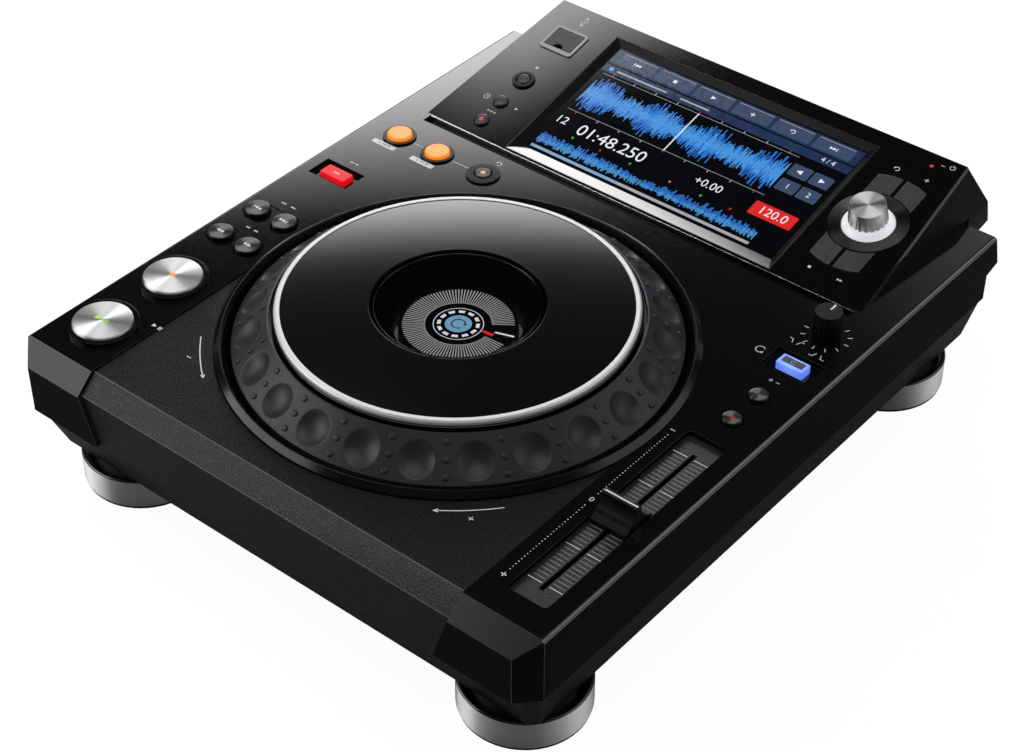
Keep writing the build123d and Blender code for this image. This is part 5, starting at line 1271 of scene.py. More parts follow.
@dataclass
class Studio:
    """Floor, soft light from all round and the camera, in metres and degrees."""

    eye: tuple[float, float, float] = (0.53955, -0.67196, 0.7331)
    aim: tuple[float, float, float] = (0.03829, -0.0652, 0.0834)
    lens: float = 79.64
    sensor: float = 36.0
    floor_w: float = 30.0
    floor_drop: float = 0.0002
    floor_grey: float = 0.80
    floor_glow: float = 1.04
    glow_share: float = 0.92
    mirror_share: float = 0.06
    overhead_start: float = 60.0
    overhead_full: float = 72.0
    overhead_power: float = 3.0
    fill: float = 0.02
    horizon_top: float = 3.0
    horizon_full: float = -1.0
    lamp_power: float = 6.0
    lamp_w: float = 0.85
    lamp_h: float = 0.6
    lamp_at: tuple[float, float, float] = (-0.75, -0.66, 0.50)
    lamp_aim: tuple[float, float, float] = (-0.12, -0.18, 0.05)

    def camera(self) -> None:
        """Sets up the camera."""
        data = bpy.data.cameras.new("camera")
        data.lens = self.lens
        data.sensor_width = self.sensor
        data.sensor_fit = "HORIZONTAL"
        data.clip_start = 0.01
        carrier = linked("camera", data)
        carrier.location = self.eye
        carrier.rotation_euler = self.facing(self.eye, self.aim)
        bpy.context.scene.camera = carrier

    @staticmethod
    def facing(place: Sequence[float], target: Sequence[float]) -> Euler:
        """Gives the turn that points a camera or lamp from its place to a target."""
        return (Vector(target) - Vector(place)).to_track_quat("-Z", "Y").to_euler()

    def floor(self) -> None:
        """Lays the pale floor, bright to the eye and plain to the light."""
        half = self.floor_w / 2
        mesh = bpy.data.meshes.new("floor")
        corners = [(-half, -half, 0), (half, -half, 0), (half, half, 0), (-half, half, 0)]
        mesh.from_pydata(corners, [], [(0, 1, 2, 3)])
        shading = Shading("floor_pale")
        tree = shading.tree
        path = shading.node("ShaderNodeLightPath")
        mirrored = shading.math("MULTIPLY", path.outputs["Is Glossy Ray"], self.mirror_share)
        either = shading.math("MAXIMUM", path.outputs["Is Camera Ray"], mirrored)
        share = shading.math("MULTIPLY", either, self.glow_share)
        grey = (self.floor_grey, self.floor_grey, self.floor_grey, 1)
        matte = shading.node("ShaderNodeBsdfDiffuse", {"Color": grey})
        light = shading.node("ShaderNodeEmission", {"Color": (1, 1, 1, 1), "Strength": self.floor_glow})
        mix = shading.node("ShaderNodeMixShader", {0: share, 1: matte.outputs[0], 2: light.outputs[0]})
        tree.links.new(mix.outputs[0], tree.nodes["Material Output"].inputs["Surface"])
        tree.nodes.remove(shading.shader)
        mesh.materials.append(shading.material)
        carrier = linked("floor", mesh)
        carrier.location.z = -self.floor_drop

    def light(self) -> None:
        """Builds the soft boxes round the object, with white for the eye."""
        world = bpy.data.worlds.new("studio")
        bpy.context.scene.world = world
        world.use_nodes = True
        world.node_tree.nodes.clear()
        sky = NodeDraft(world.node_tree)

        def ramp(value: Socket, start: float, stop: float) -> Socket:
            """Gives a soft step from nought at start to one at stop."""
            ends = {0: value, 1: start, 2: stop}
            return sky.node("ShaderNodeMapRange", ends, interpolation_type="SMOOTHSTEP").outputs[0]

        def glow(box: SoftBox) -> Socket:
            """Gives the light of one soft box in each direction.

            Args:
                box: the soft box.

            Returns:
                The socket of its strength.
            """
            start = ramp(around, box.first - box.edge, box.first + box.edge)
            stop = ramp(around, box.last + box.edge, box.last - box.edge)
            wide = sky.math("MULTIPLY", start, stop)
            foot_start, foot_full, head_full, head_end = box.heights
            foot = ramp(height, foot_start, foot_full)
            head = ramp(height, head_end, head_full)
            tall = sky.math("MULTIPLY", foot, head)
            return sky.math("MULTIPLY", sky.math("MULTIPLY", wide, tall), box.power)

        coord = sky.node("ShaderNodeTexCoord")
        split = sky.node("ShaderNodeSeparateXYZ", {0: coord.outputs["Generated"]})
        height = sky.math("DEGREES", sky.math("ARCSINE", split.outputs[2]))
        around = sky.math("DEGREES", sky.math("ARCTAN2", split.outputs[0], split.outputs[1]))
        overhead = ramp(height, self.overhead_start, self.overhead_full)
        total = sky.math("MULTIPLY_ADD", overhead, self.overhead_power, self.fill)
        for box in SOFT_BOXES:
            total = sky.math("ADD", total, glow(box))
        path = sky.node("ShaderNodeLightPath")
        horizon = ramp(height, self.horizon_top, self.horizon_full)
        low = sky.math("MULTIPLY", path.outputs["Is Glossy Ray"], horizon)
        white = sky.math("MAXIMUM", path.outputs["Is Camera Ray"], low)
        mixed = sky.node("ShaderNodeMix", {0: white, 2: total, 3: 1.0})
        back = sky.node("ShaderNodeBackground", {"Strength": mixed.outputs[0]})
        sky.node("ShaderNodeOutputWorld", {"Surface": back.outputs[0]})

    def lamp(self) -> None:
        """Hangs the near lamp at the front left."""
        lamp = bpy.data.lights.new("front_left", "AREA")
        lamp.energy = self.lamp_power
        lamp.shape = "RECTANGLE"
        lamp.size = self.lamp_w
        lamp.size_y = self.lamp_h
        carrier = linked("front_left", lamp)
        carrier.location = self.lamp_at
        carrier.rotation_euler = self.facing(self.lamp_at, self.lamp_aim)

    def build(self) -> None:
        """Sets up camera, floor and light."""
        self.camera()
        self.floor()
        self.light()
        self.lamp()
        bpy.context.scene.view_settings.view_transform = "Standard"


@dataclass
class Cabinet:
    """Upper cabinet, grained front panel, chassis and the plate's printed marks."""

    loop_x: float = -130.1927
    loop_pitch: float = 25.7
    loop_gap: float = 9.6
    label_shift: float = 1.4
    label_dist: float = 221.0
    scale_gap: float = 15.6
    scale_reach: float = 58.0
    arrow_r: float = 118.6
    sign_gap: float = 5.0
    dot_r: float = 0.28

    def build(self) -> None:
        """Dresses the cabinet's own nodes and prints the plate."""
        SHOP.soften("upper_cabinet", [FIN.top, FIN.chamfer, FIN.side, FIN.edge], 0.7, self.cabinet_part, 3,
                    self.cabinet_edge_highlight)
        SHOP.soften("front_panel", [FIN.grain, FIN.grain_slope_painted_light, FIN.grain_rim_painted_highlight], 0.45, self.panel_part, 3,
                    self.panel_highlight_rim)
        SHOP.soften("bottom_chassis", [FIN.chassis], 0.4)
        self.print_plate()
        self.print_panel()
        self.speed_scale()
        self.tempo_dots()

    @staticmethod
    def cabinet_part(normal: Vector, middle: Vector) -> int:
        """Picks gloss for the top, satin for chamfers, the glossier edge finish for the right edges, and
        dull walls.

        Args:
            normal: a face's normal.
            middle: its middle in millimetres; not used.

        Returns:
            The finish's number.
        """
        if normal.x > 0.15 and 0.1 < normal.z < 0.97:
            return 3
        if normal.x < -0.1 or normal.z < 0.35:
            return 2
        return 0 if normal.z > 0.9 else 1

    @staticmethod
    def cabinet_edge_highlight(normal: Vector, middle: Vector) -> int:
        """Picks the glossier edge finish, lighter in colour as a painted highlight, for the rounded edges,
        apart from those of the left and rear walls.
        """
        return 2 if normal.x < -0.1 or normal.y > 0.1 else 3

    @staticmethod
    def panel_highlight_rim(normal: Vector, middle: Vector) -> int:
        """Picks the lighter finish for the panel's rounded front edges, a painted highlight line along them.
        """
        return 2 if normal.y < -0.1 and normal.z > 0.0 else 0

    @staticmethod
    def panel_part(normal: Vector, middle: Vector) -> int:
        """Picks the shinier grain for the panel's sloping edge, which is lighter in colour as painted light.
        """
        return 1 if 0.3 < normal.z < 0.95 and normal.y < 0 else 0

    def print_plate(self) -> None:
        """Prints the plain marks on the plate."""
        sheet = PrintSheet("plate_print", PLACE.deck(), [FIN.ink, FIN.ink_dark])
        self.loop_marks(sheet)
        self.left_marks(sheet)
        self.right_marks(sheet)
        sheet.done("deck", "cabinet_black")

    def loop_marks(self, sheet: PrintSheet) -> None:
        """Prints the lines between the loop buttons and the plates in front of them.

        Args:
            sheet: the plate's print.
        """
        loop_out = self.loop_x + self.loop_pitch
        sheet.line([(self.loop_x + self.loop_gap, 231.6), (loop_out - self.loop_gap, 231.6)], 0.35)
        sheet.line([(loop_out + self.loop_gap, 231.7), (PLACE.reloop_x - self.loop_gap, 232.1)], 0.35)
        for x in (self.loop_x, loop_out):
            middle = x - self.label_shift
            sheet.plate(middle, self.label_dist, 15.0, 3.4, 0.9)
            sheet.triangle(middle - 3.1, self.label_dist, 1.0, 180, 1, Level.UPPER)
            sheet.triangle(middle + 3.1, self.label_dist, 1.0, 0, 1, Level.UPPER)
            sheet.bar(middle, self.label_dist, 3.0, 0.5, 1, Level.UPPER)

    @staticmethod
    def left_marks(sheet: PrintSheet) -> None:
        """Prints the symbols beside the buttons on the left strip and the reloop button.

        Args:
            sheet: the plate's print.
        """
        marks = (
            (Shape.PLAY, 18.8, 41.5, 1.5),
            (Shape.PAUSE, 22.4, 41.5, 1.5),
            (Shape.REWIND, -2.6, 124.6, 1.1),
            (Shape.FORWARD, 2.6, 124.6, 1.1),
            (Shape.BACK, -3.2, 150.4, 1.1),
            (Shape.NEXT, 3.2, 150.4, 1.1),
            (Shape.ARROWS, 0.0, 198.4, 1.5),
        )
        for shape, shift, dist, size in marks:
            sheet.symbol(shape, -PLACE.strip_x + shift, dist, size)
        sheet.symbol(Shape.RETURN, PLACE.reloop_x, 245.0, 1.9)

    def right_marks(self, sheet: PrintSheet) -> None:
        """Prints the signs of the tempo scale and the marks round the jog mode button and speed knob.

        Args:
            sheet: the plate's print.
        """
        scale_x = PLACE.fader_x - self.scale_gap
        sheet.digits("0", scale_x, PLACE.fader_dist, 4.2)
        sheet.symbol(Shape.MINUS, scale_x, PLACE.fader_dist + self.scale_reach, 1.4)
        sheet.symbol(Shape.PLUS, scale_x, PLACE.fader_dist - self.scale_reach, 1.6)
        sheet.symbol(Shape.PLUS, PLACE.strip_x - 1.6, 190.6, 1.2)
        sheet.bar(PLACE.strip_x + 2.0, 190.6, 2.0, 0.36)
        sheet.arc(PLACE.strip_x - 18.0, PLACE.mode_dist, 2.2, 0.4, 40, 320, steps=28)
        sheet.triangle(PLACE.strip_x - 16.3, PLACE.mode_dist - 1.4, 1.1, 60)
        steps = [(-4.0, 1.4), (-2.2, 1.4), (-1.2, -1.4), (1.2, -1.4), (2.2, 1.4), (4.0, 1.4)]
        for turn, shift, gap in ((1, -8.4, 12.6), (-1, 5.0, 14.8)):
            x, y = PLACE.strip_x + shift, PLACE.speed_dist - gap
            sheet.line([(x + px, y + turn * py) for px, py in steps[:3]], 0.4)
            sheet.line([(x + px, y + turn * py) for px, py in steps[3:]], 0.4)

    def print_panel(self) -> None:
        """Prints the two turn arrows on the grained panel."""
        sheet = PrintSheet("panel_print", PLACE.jog(-0.7), [FIN.ink])
        radius = self.arrow_r
        for start, stop, sign in ((220.0, 234.0, Shape.MINUS), (306.0, 320.0, Shape.PLUS)):
            sheet.arc(0, 0, radius, 0.5, start, stop, level=Level.TOP)
            tip = math.radians(stop if sign is Shape.MINUS else start)
            mid = math.radians((start + stop) / 2)
            turn = math.degrees(tip) + (90 if sign is Shape.MINUS else -90)
            sheet.triangle(radius * math.cos(tip), radius * math.sin(tip), 1.7, turn, level=Level.TOP)
            away = radius + self.sign_gap
            sheet.symbol(sign, away * math.cos(mid), away * math.sin(mid), 1.5, level=Level.TOP)
        sheet.done("deck", "front_grain")

    @staticmethod
    def speed_scale() -> None:
        """Prints the ticks round the speed knob."""
        tick = MeshDraft()
        tick.polygon(rectangle(1.2, 0.0, 2.4, 0.4), Level.LOWER.value)
        values = {"Count": 11, "Radius": 9.6, "Start": math.radians(-240), "Step": math.radians(30)}
        place = PLACE.deck(PLACE.strip_x, PLACE.speed_dist)
        mesh = SHOP.grow("speed_ticks", tick, CIRCLE, values, place, FIN.ink)
        SHOP.put("speed_ticks", mesh, "deck", "cabinet_black")

    def tempo_dots(self) -> None:
        """Prints the dotted scale beside the tempo fader."""
        dot = MeshDraft()
        angles = [i * math.pi / 4 for i in range(8)]
        dot.polygon(round_points(0.0, 0.0, self.dot_r, angles), Level.LOWER.value)
        for name, first in (("tempo_dots_front", -54.0), ("tempo_dots_back", 4.6)):
            place = PLACE.deck(PLACE.fader_x - self.scale_gap, PLACE.fader_dist + first)
            mesh = SHOP.grow(name, dot, ROW, {"Count": 27, "Step": (0.0, 1.9, 0.0)}, place, FIN.ink)
            SHOP.put(name, mesh, "deck", "cabinet_black")


@dataclass
class JogWheel:
    """Jog wheel: surround, rubber dial with finger dimples, gloss plate, trim and the lit display."""

    dial_r: float = 104.5
    edge_rise: float = 0.4
    top_r: float = 87.2
    top_rise: float = 15.0
    dimple_count: int = 24
    dimple_r: float = 8.5
    dimple_depth: float = 2.4
    dimple_ring_r: float = 96.4
    dimple_soft: float = 0.006
    plate_rise: float = 16.0
    display_rise: float = 5.4
    round_steps: int = 1152
    slope_steps: int = 44
    slope_over: float = 0.3
    slope_under: float = -3.4
    slope_up: float = 0.15
    sharp_deg: float = 38.0

    def build(self) -> None:
        """Dresses the wheel's nodes and adds its bumps and display art."""
        SHOP.soften("jog_surround", [FIN.throat], 0.0)
        self.dial()
        SHOP.soften("jog_plate", [FIN.plate, FIN.well], 0.15, self.plate_part)
        SHOP.soften("jog_trim", [FIN.trim], 0.12)
        SHOP.soften("jog_window", [FIN.pane], 0.0)
        SHOP.soften("jog_display", [FIN.glass], 0.0)
        SHOP.soften("jog_base", [FIN.inner], 0.0)
        SHOP.soften("jog_bush", [FIN.bush], 0.0)
        self.bumps()
        self.display()

    def plate_part(self, normal: Vector, middle: Vector) -> int:
        """Picks the gloss finish for the plate's top and dull black inside its well."""
        return 0 if middle.z > PLACE.deck_z + self.plate_rise and normal.z > 0.5 else 1

    def slope_point(self, share: float) -> tuple[float, float]:
        """Gives radius and height at a share of the way up the slope."""
        radius = self.dial_r + (self.top_r - self.dial_r) * share
        return radius, self.edge_rise + (self.top_rise - self.edge_rise) * share

    def dial(self) -> None:
        """Builds the dial: the CAD shape with its dimpled slope made finely."""
        work = SHOP.merged("jog_dial")
        axis_y = PLACE.front_y + PLACE.jog_dist
        gone = []
        for face in work.faces:
            middle = face.calc_center_median() / MM
            radius = math.hypot(middle.x, middle.y - axis_y)
            share = (self.dial_r - radius) / (self.dial_r - self.top_r)
            over = middle.z - PLACE.deck_z - self.slope_point(share)[1]
            near = self.slope_under < over < self.slope_over and 0.0 < share < 1.0
            if near and face.normal.z > self.slope_up:
                gone.append(face)
        bmesh.ops.delete(work, geom=gone, context="FACES")
        mesh = bpy.data.meshes.new("jog_dial_soft")
        for face in work.faces:
            face.material_index = 0
        slope = self.slope().mesh("slope", PLACE.jog(), [])
        work.from_mesh(slope)
        work.to_mesh(mesh)
        work.free()
        bpy.data.meshes.remove(slope)
        mesh.materials.append(FIN.rubber.material())
        mesh.shade_smooth()
        mesh.set_sharp_from_angle(angle=math.radians(self.sharp_deg))
        SHOP.put("jog_dial_soft", mesh, "jog", "dial_grey", ["jog_dial"])

    def slope(self) -> MeshDraft:
        """Makes the dial's slope as a fine grid pressed in by the dimples.

        Returns:
            The slope's draft about the jog's axis.
        """
        run = self.dial_r - self.top_r
        rise = self.top_rise - self.edge_rise
        size = math.hypot(run, rise)
        out, up = rise / size, run / size
        ball = (self.dimple_r ** 2 + self.dimple_depth ** 2) / (2 * self.dimple_depth)
        share = (self.dial_r - self.dimple_ring_r) / run
        ring_h = self.slope_point(share)[1]
        pitch = 2 * math.pi / self.dimple_count
        over = ball - self.dimple_depth
        centre = Vector((self.dimple_ring_r + out * over, 0.0, ring_h + up * over))
        draft = MeshDraft()
        points = []
        for row in range(self.slope_steps + 1):
            radius, height = self.slope_point(row / self.slope_steps)
            for i in range(self.round_steps):
                angle = 2 * math.pi * i / self.round_steps
                local = (angle + pitch / 2) % pitch - pitch / 2
                normal = Vector((out * math.cos(local), out * math.sin(local), up))
                spot = Vector((radius * math.cos(local), radius * math.sin(local), height))
                away = spot - centre
                along = away.dot(normal)
                inside = along * along - away.length_squared + ball * ball
                depth = along + math.sqrt(inside) if inside > 0 else -1.0
                depth = (depth + math.sqrt(depth * depth + self.dimple_soft) - self.dimple_soft) / 2
                if row in (0, self.slope_steps):
                    depth = 0.0
                spot = spot - normal * depth
                turn = Matrix.Rotation(angle - local, 3, "Z")
                points.append(tuple(turn @ spot))
        faces = []
        for row in range(self.slope_steps):
            for i in range(self.round_steps):
                j = (i + 1) % self.round_steps
                lower, upper = row * self.round_steps, (row + 1) * self.round_steps
                faces.append((lower + i, lower + j, upper + j, upper + i))
        draft.add(points, faces)
        return draft

    def bumps(self) -> None:
        """Adds three small raised dots between neighbouring dimples."""
        run = self.dial_r - self.top_r
        rise = self.top_rise - self.edge_rise
        lean = math.atan2(rise, run)
        meshes = []
        for share in (0.16, 0.5, 0.84):
            radius, height = self.slope_point(share)
            draft = MeshDraft()
            draft.lathe([(1.6, -0.25), (1.55, 0.3), (1.35, 0.55), (0.9, 0.64), (0.0, 0.68)], 16)
            turn = Matrix.Rotation(lean, 3, "Y")
            draft.points = [tuple(turn @ Vector(p)) for p in draft.points]
            values = {"Count": self.dimple_count, "Radius": radius, "Start": math.pi / self.dimple_count,
                      "Step": 2 * math.pi / self.dimple_count}
            meshes.append(SHOP.grow("dial_bumps", draft, CIRCLE, values, PLACE.jog(height), FIN.rubber))
        work = bmesh.new()
        for mesh in meshes:
            work.from_mesh(mesh)
        mesh = bpy.data.meshes.new("dial_bumps")
        work.to_mesh(mesh)
        work.free()
        mesh.materials.append(FIN.rubber.material())
        mesh.shade_smooth()
        SHOP.put("dial_bumps", mesh, "jog", "dial_grey")

    def display(self) -> None:
        """Draws the lit art under the window."""
        place = PLACE.jog(self.display_rise)
        inks = [FIN.art_grey, FIN.art_white, FIN.art_pale, FIN.art_red, FIN.ink_dark]
        grey, white, pale, red, dark = range(len(inks))
        sheet = PrintSheet("jog_art", place, inks)
        sheet.arc(0, 0, 15.6, 0.3, 38, 362, grey, steps=96)
        sheet.arc(0, 0, 11.6, 0.35, 0, 360, white, steps=72)
        sheet.disc(0, 0, 6.3, pale)
        sheet.arc(0, 0, 3.2, 0.7, 30, 330, dark, Level.UPPER, 32)
        sheet.triangle(2.8, 1.6, 1.3, 110, dark, Level.UPPER)
        sheet.patch([(11.9, 2.1), (17.8, 2.6), (17.8, 4.6), (11.9, 3.7)], red)
        sheet.patch([(17.0, 5.3), (26.0, 8.4), (25.7, 9.4), (17.0, 6.4)], white)
        sheet.done("deck", "jog_display")
        ray = MeshDraft()
        ray.polygon([(0.0, -0.2), (10.3, -0.3), (10.3, 0.3), (0.0, 0.2)], Level.LOWER.value)
        values = {"Count": 96, "Radius": 15.6, "Start": math.radians(38), "Step": math.radians(324 / 95)}
        mesh = SHOP.grow("jog_rays", ray, CIRCLE, values, place, FIN.art_grey)
        SHOP.put("jog_rays", mesh, "deck", "jog_display")
        dash = MeshDraft()
        dash.polygon([(0.0, -1.35), (1.7, -1.6), (1.7, 1.6), (0.0, 1.35)], Level.LOWER.value)
        values = {"Count": 12, "Radius": 8.2, "Start": 0.0, "Step": math.radians(30)}
        mesh = SHOP.grow("jog_dashes", dash, CIRCLE, values, place, FIN.art_white)
        SHOP.put("jog_dashes", mesh, "deck", "jog_display")


@dataclass(frozen=True)
class LevelRow:
    """One level on the screen, drawn as a row of thin bars.

    The bars stand about the height y, are w wide and at most h tall, and count of them fill the length.
    Their heights are drawn with a fixed seed, are at least the share low, and swell at the given speed.
    """

    name: str
    finish: Finish
    y: float
    w: float
    h: float
    length: float
    count: int
    low: float
    seed: int
    swell: float
    level: Level = Level.LOWER
    start_x: ClassVar[float] = -73.6

    def draw(self, place: Matrix) -> None:
        """Draws the row on the screen.

        Args:
            place: the screen's matrix.
        """
        bar = MeshDraft()
        bar.polygon(rectangle(0.0, 0.0, self.w, self.h), self.level.value)
        values = {"Count": self.count, "Pitch": self.length / self.count, "Low": self.low, "Seed": self.seed,
                  "Swell": self.swell}
        spot = place @ Matrix.Translation((self.start_x, self.y, 0.0))
        mesh = SHOP.grow(self.name, bar, BARS, values, spot, self.finish)
        SHOP.put(self.name, mesh, "deck", "touch_glass")


@dataclass
class DisplayUnit:
    """Tilted unit at the back: housing, face, screen with generic art, USB port and face buttons."""

    screen_w: float = 155.0
    screen_low: float = 9.9
    glass_drop: float = 3.0
    usb_x: float = -105.0
    wave_l: float = 123.0
    overview_l: float = 136.0

    def build(self) -> None:
        """Dresses the unit's nodes and prints its face and screen."""
        SHOP.soften("display_housing", [FIN.housing, FIN.housing_side], 0.5, upward(0.93), 3)
        SHOP.soften("display_panel", [FIN.face], 0.25)
        SHOP.soften("screen_bezel", [FIN.bezel, FIN.sill], 0.1, self.bezel_part)
        SHOP.soften("touch_glass", [FIN.glass], 0.0)
        SHOP.soften("lcd_module", [FIN.lcd], 0.0)
        SHOP.soften("usb_frame", [FIN.usb_frame], 0.2)
        SHOP.soften("usb_lid", [FIN.lid], 0.25)
        SHOP.soften("usb_socket", [FIN.steel], 0.0)
        for node in ("usb_stop", "time_mode", "quantize"):
            finish = spun(node + "_spun", node, (0.05, 0.05, 0.051), 0.3, PLACE.tilt, 0.6, 0.7)
            SHOP.soften(node, [finish], 0.12)
        self.print_face()
        self.art()
        self.leds()

    @staticmethod
    def bezel_part(normal: Vector, middle: Vector) -> int:
        """Picks the bright finish for the sill along the screen's front, which leans back."""
        return 1 if normal.y > 0.1 and normal.z > 0.5 else 0

    def print_face(self) -> None:
        """Prints plain symbols on the face, and a bright metal strip along its front edge as a painted
        highlight.
        """
        inks = [FIN.ink, FIN.red_led, FIN.painted_sheen]
        white, red, bright = range(len(inks))
        sheet = PrintSheet("face_print", PLACE.face(), inks)
        # Painted highlight: a thin bright strip along the face's front edge, widest at the left, where the
        # rounded edge catches light.
        sheet.patch([(-131.0, 0.12), (131.0, 0.12), (131.0, 0.22), (-84.0, 0.55), (-131.0, 1.1)], bright)
        x = self.usb_x
        sheet.line([(x, 96.0), (x, 101.6)], 0.4, white)
        sheet.disc(x, 96.0, 0.8)
        sheet.triangle(x, 102.0, 1.3, 90)
        sheet.line([(x, 97.8), (x + 2.0, 99.2), (x + 2.0, 100.4)], 0.35)
        sheet.line([(x, 97.0), (x - 2.0, 98.4), (x - 2.0, 99.6)], 0.35)
        sheet.symbol(Shape.SQUARE, x, 57.6, 1.3)
        sheet.arc(x - 9.6, 27.0, 1.6, 0.35, 0, 360, steps=24)
        sheet.line([(x - 9.6, 28.2), (x - 9.6, 27.0), (x - 8.7, 26.6)], 0.3)
        sheet.symbol(Shape.PLAY, x + 10.4, 27.0, 1.2)
        sheet.line([(x - 2.4, 19.0), (x + 2.4, 19.0)], 0.35)
        for shift in (-2.4, 0.0, 2.4):
            sheet.line([(x + shift, 18.2), (x + shift, 19.8)], 0.35)
        sheet.disc(110.8, 99.8, 0.95, red)
        sheet.symbol(Shape.POWER, 120.4, 103.6, 1.7)
        sheet.symbol(Shape.MINUS, 115.6, 102.6, 1.2)
        sheet.symbol(Shape.RETURN, 97.4, 89.6, 1.8)
        sheet.symbol(Shape.PLUS, 114.2, 90.0, 1.4)
        sheet.symbol(Shape.SQUARE, 97.4, 13.2, 1.2)
        sheet.symbol(Shape.FORWARD, 114.2, 13.2, 1.3)
        sheet.done("deck", "panel_black")

    def leds(self) -> None:
        """Adds the small lamp in the quantize button."""
        sheet = PrintSheet("quantize_lamp", PLACE.face(self.usb_x, 10.9, 1.6), [FIN.red_led])
        sheet.disc(0, 0, 1.35)
        sheet.done("quantize", "button_dark")

    def art(self) -> None:
        """Draws the lit art on the glass."""
        place = PLACE.face(0.0, self.screen_low, -self.glass_drop)
        inks = [FIN.art_navy, FIN.art_slate, FIN.art_white, FIN.art_sky, FIN.art_red, FIN.art_green,
                FIN.art_orange, FIN.art_grey]
        navy, slate, white, sky, red, green, orange, grey = range(len(inks))
        sheet = PrintSheet("screen_art", place, inks)
        sheet.bar(0, 78.4, self.screen_w - 1.0, 11.0, navy)
        keys = (Shape.BACK, Shape.SQUARE, Shape.PLAY, Shape.PLUS, Shape.RETURN, Shape.NEXT)
        for i, shape in enumerate(keys):
            x = -61.5 + i * 24.6
            sheet.plate(x, 78.4, 22.6, 8.6, 0.9, slate, Level.UPPER)
            sheet.bar(x, 82.3, 21.0, 0.35, grey, Level.TOP)
            sheet.symbol(shape, x, 78.2, 1.7, white, Level.TOP)
        sheet.bar(0, 69.2, self.screen_w - 1.0, 5.6, navy)
        sheet.disc(-72.0, 69.2, 1.4, sky, Level.UPPER)
        sheet.bar(-52.0, 69.2, 32.0, 1.1, grey, Level.UPPER)
        sheet.bar(-18.0, 69.2, 18.0, 1.1, grey, Level.UPPER)
        sheet.digits("4 / 4", 64.0, 69.2, 4.4, white, Level.UPPER)
        for y in (34.0, 64.6):
            sheet.bar(-12.0, y, 124.0, 0.25, grey)
        for i in range(9):
            for y in (33.2, 65.4):
                sheet.bar(-68.0 + i * 14.0, y, 0.5, 1.6, red if i % 4 == 0 else grey, Level.UPPER)
        sheet.bar(-12.0, 49.3, 0.7, 31.0, white, Level.TOP)
        for x in (56.3, 68.7):
            for y in (56.0, 44.6):
                sheet.plate(x, y, 11.4, 8.4, 0.9, slate)
        sheet.triangle(56.3, 56.0, 2.2, 180, white, Level.UPPER)
        sheet.triangle(68.7, 56.0, 2.2, 0, white, Level.UPPER)
        sheet.digits("1", 56.3, 44.6, 4.6, white, Level.UPPER)
        sheet.digits("2", 68.7, 44.6, 4.6, white, Level.UPPER)
        sheet.digits("01:48.250", -38.0, 24.0, 11.0, white)
        sheet.digits("12", -71.0, 25.4, 7.6, white)
        sheet.digits("+0.00", 22.0, 25.4, 7.2, white)
        sheet.plate(61.5, 24.6, 25.0, 9.4, 0.8, red)
        sheet.digits("120.0", 61.5, 24.6, 7.6, white, Level.UPPER)
        sheet.bar(-6.0, 3.0, 136.0, 1.8, grey)
        sheet.bar(-46.0, 3.0, 56.0, 1.0, sky, Level.UPPER)
        flags = ((-58.0, green), (-40.0, red), (-21.0, green), (4.0, orange), (23.0, green), (41.0, red))
        for x, ink in flags:
            sheet.triangle(x, 17.4, 1.1, 270, ink, Level.UPPER)
        sheet.done("deck", "touch_glass")
        for level in self.levels():
            level.draw(place)

    def levels(self) -> tuple[LevelRow, ...]:
        """Lists the rows of bars on the screen.

        Returns:
            The wave in two tones and the overview in two tones.
        """
        wave, overview = self.wave_l, self.overview_l
        return (
            LevelRow("screen_wave_deep", FIN.art_blue, 49.3, 0.62, 28.0, wave, 200, 0.35, 7, 0.11),
            LevelRow("screen_wave_bright", FIN.art_sky, 49.3, 0.34, 20.0, wave, 200, 0.05, 21, 0.17,
                     Level.UPPER),
            LevelRow("screen_overview", FIN.art_blue, 10.0, 0.7, 10.5, overview, 150, 0.2, 5, 0.07),
            LevelRow("screen_overview_peak", FIN.art_sky, 8.4, 0.5, 6.5, overview, 150, 0.05, 9, 0.05,
                     Level.UPPER),
        )


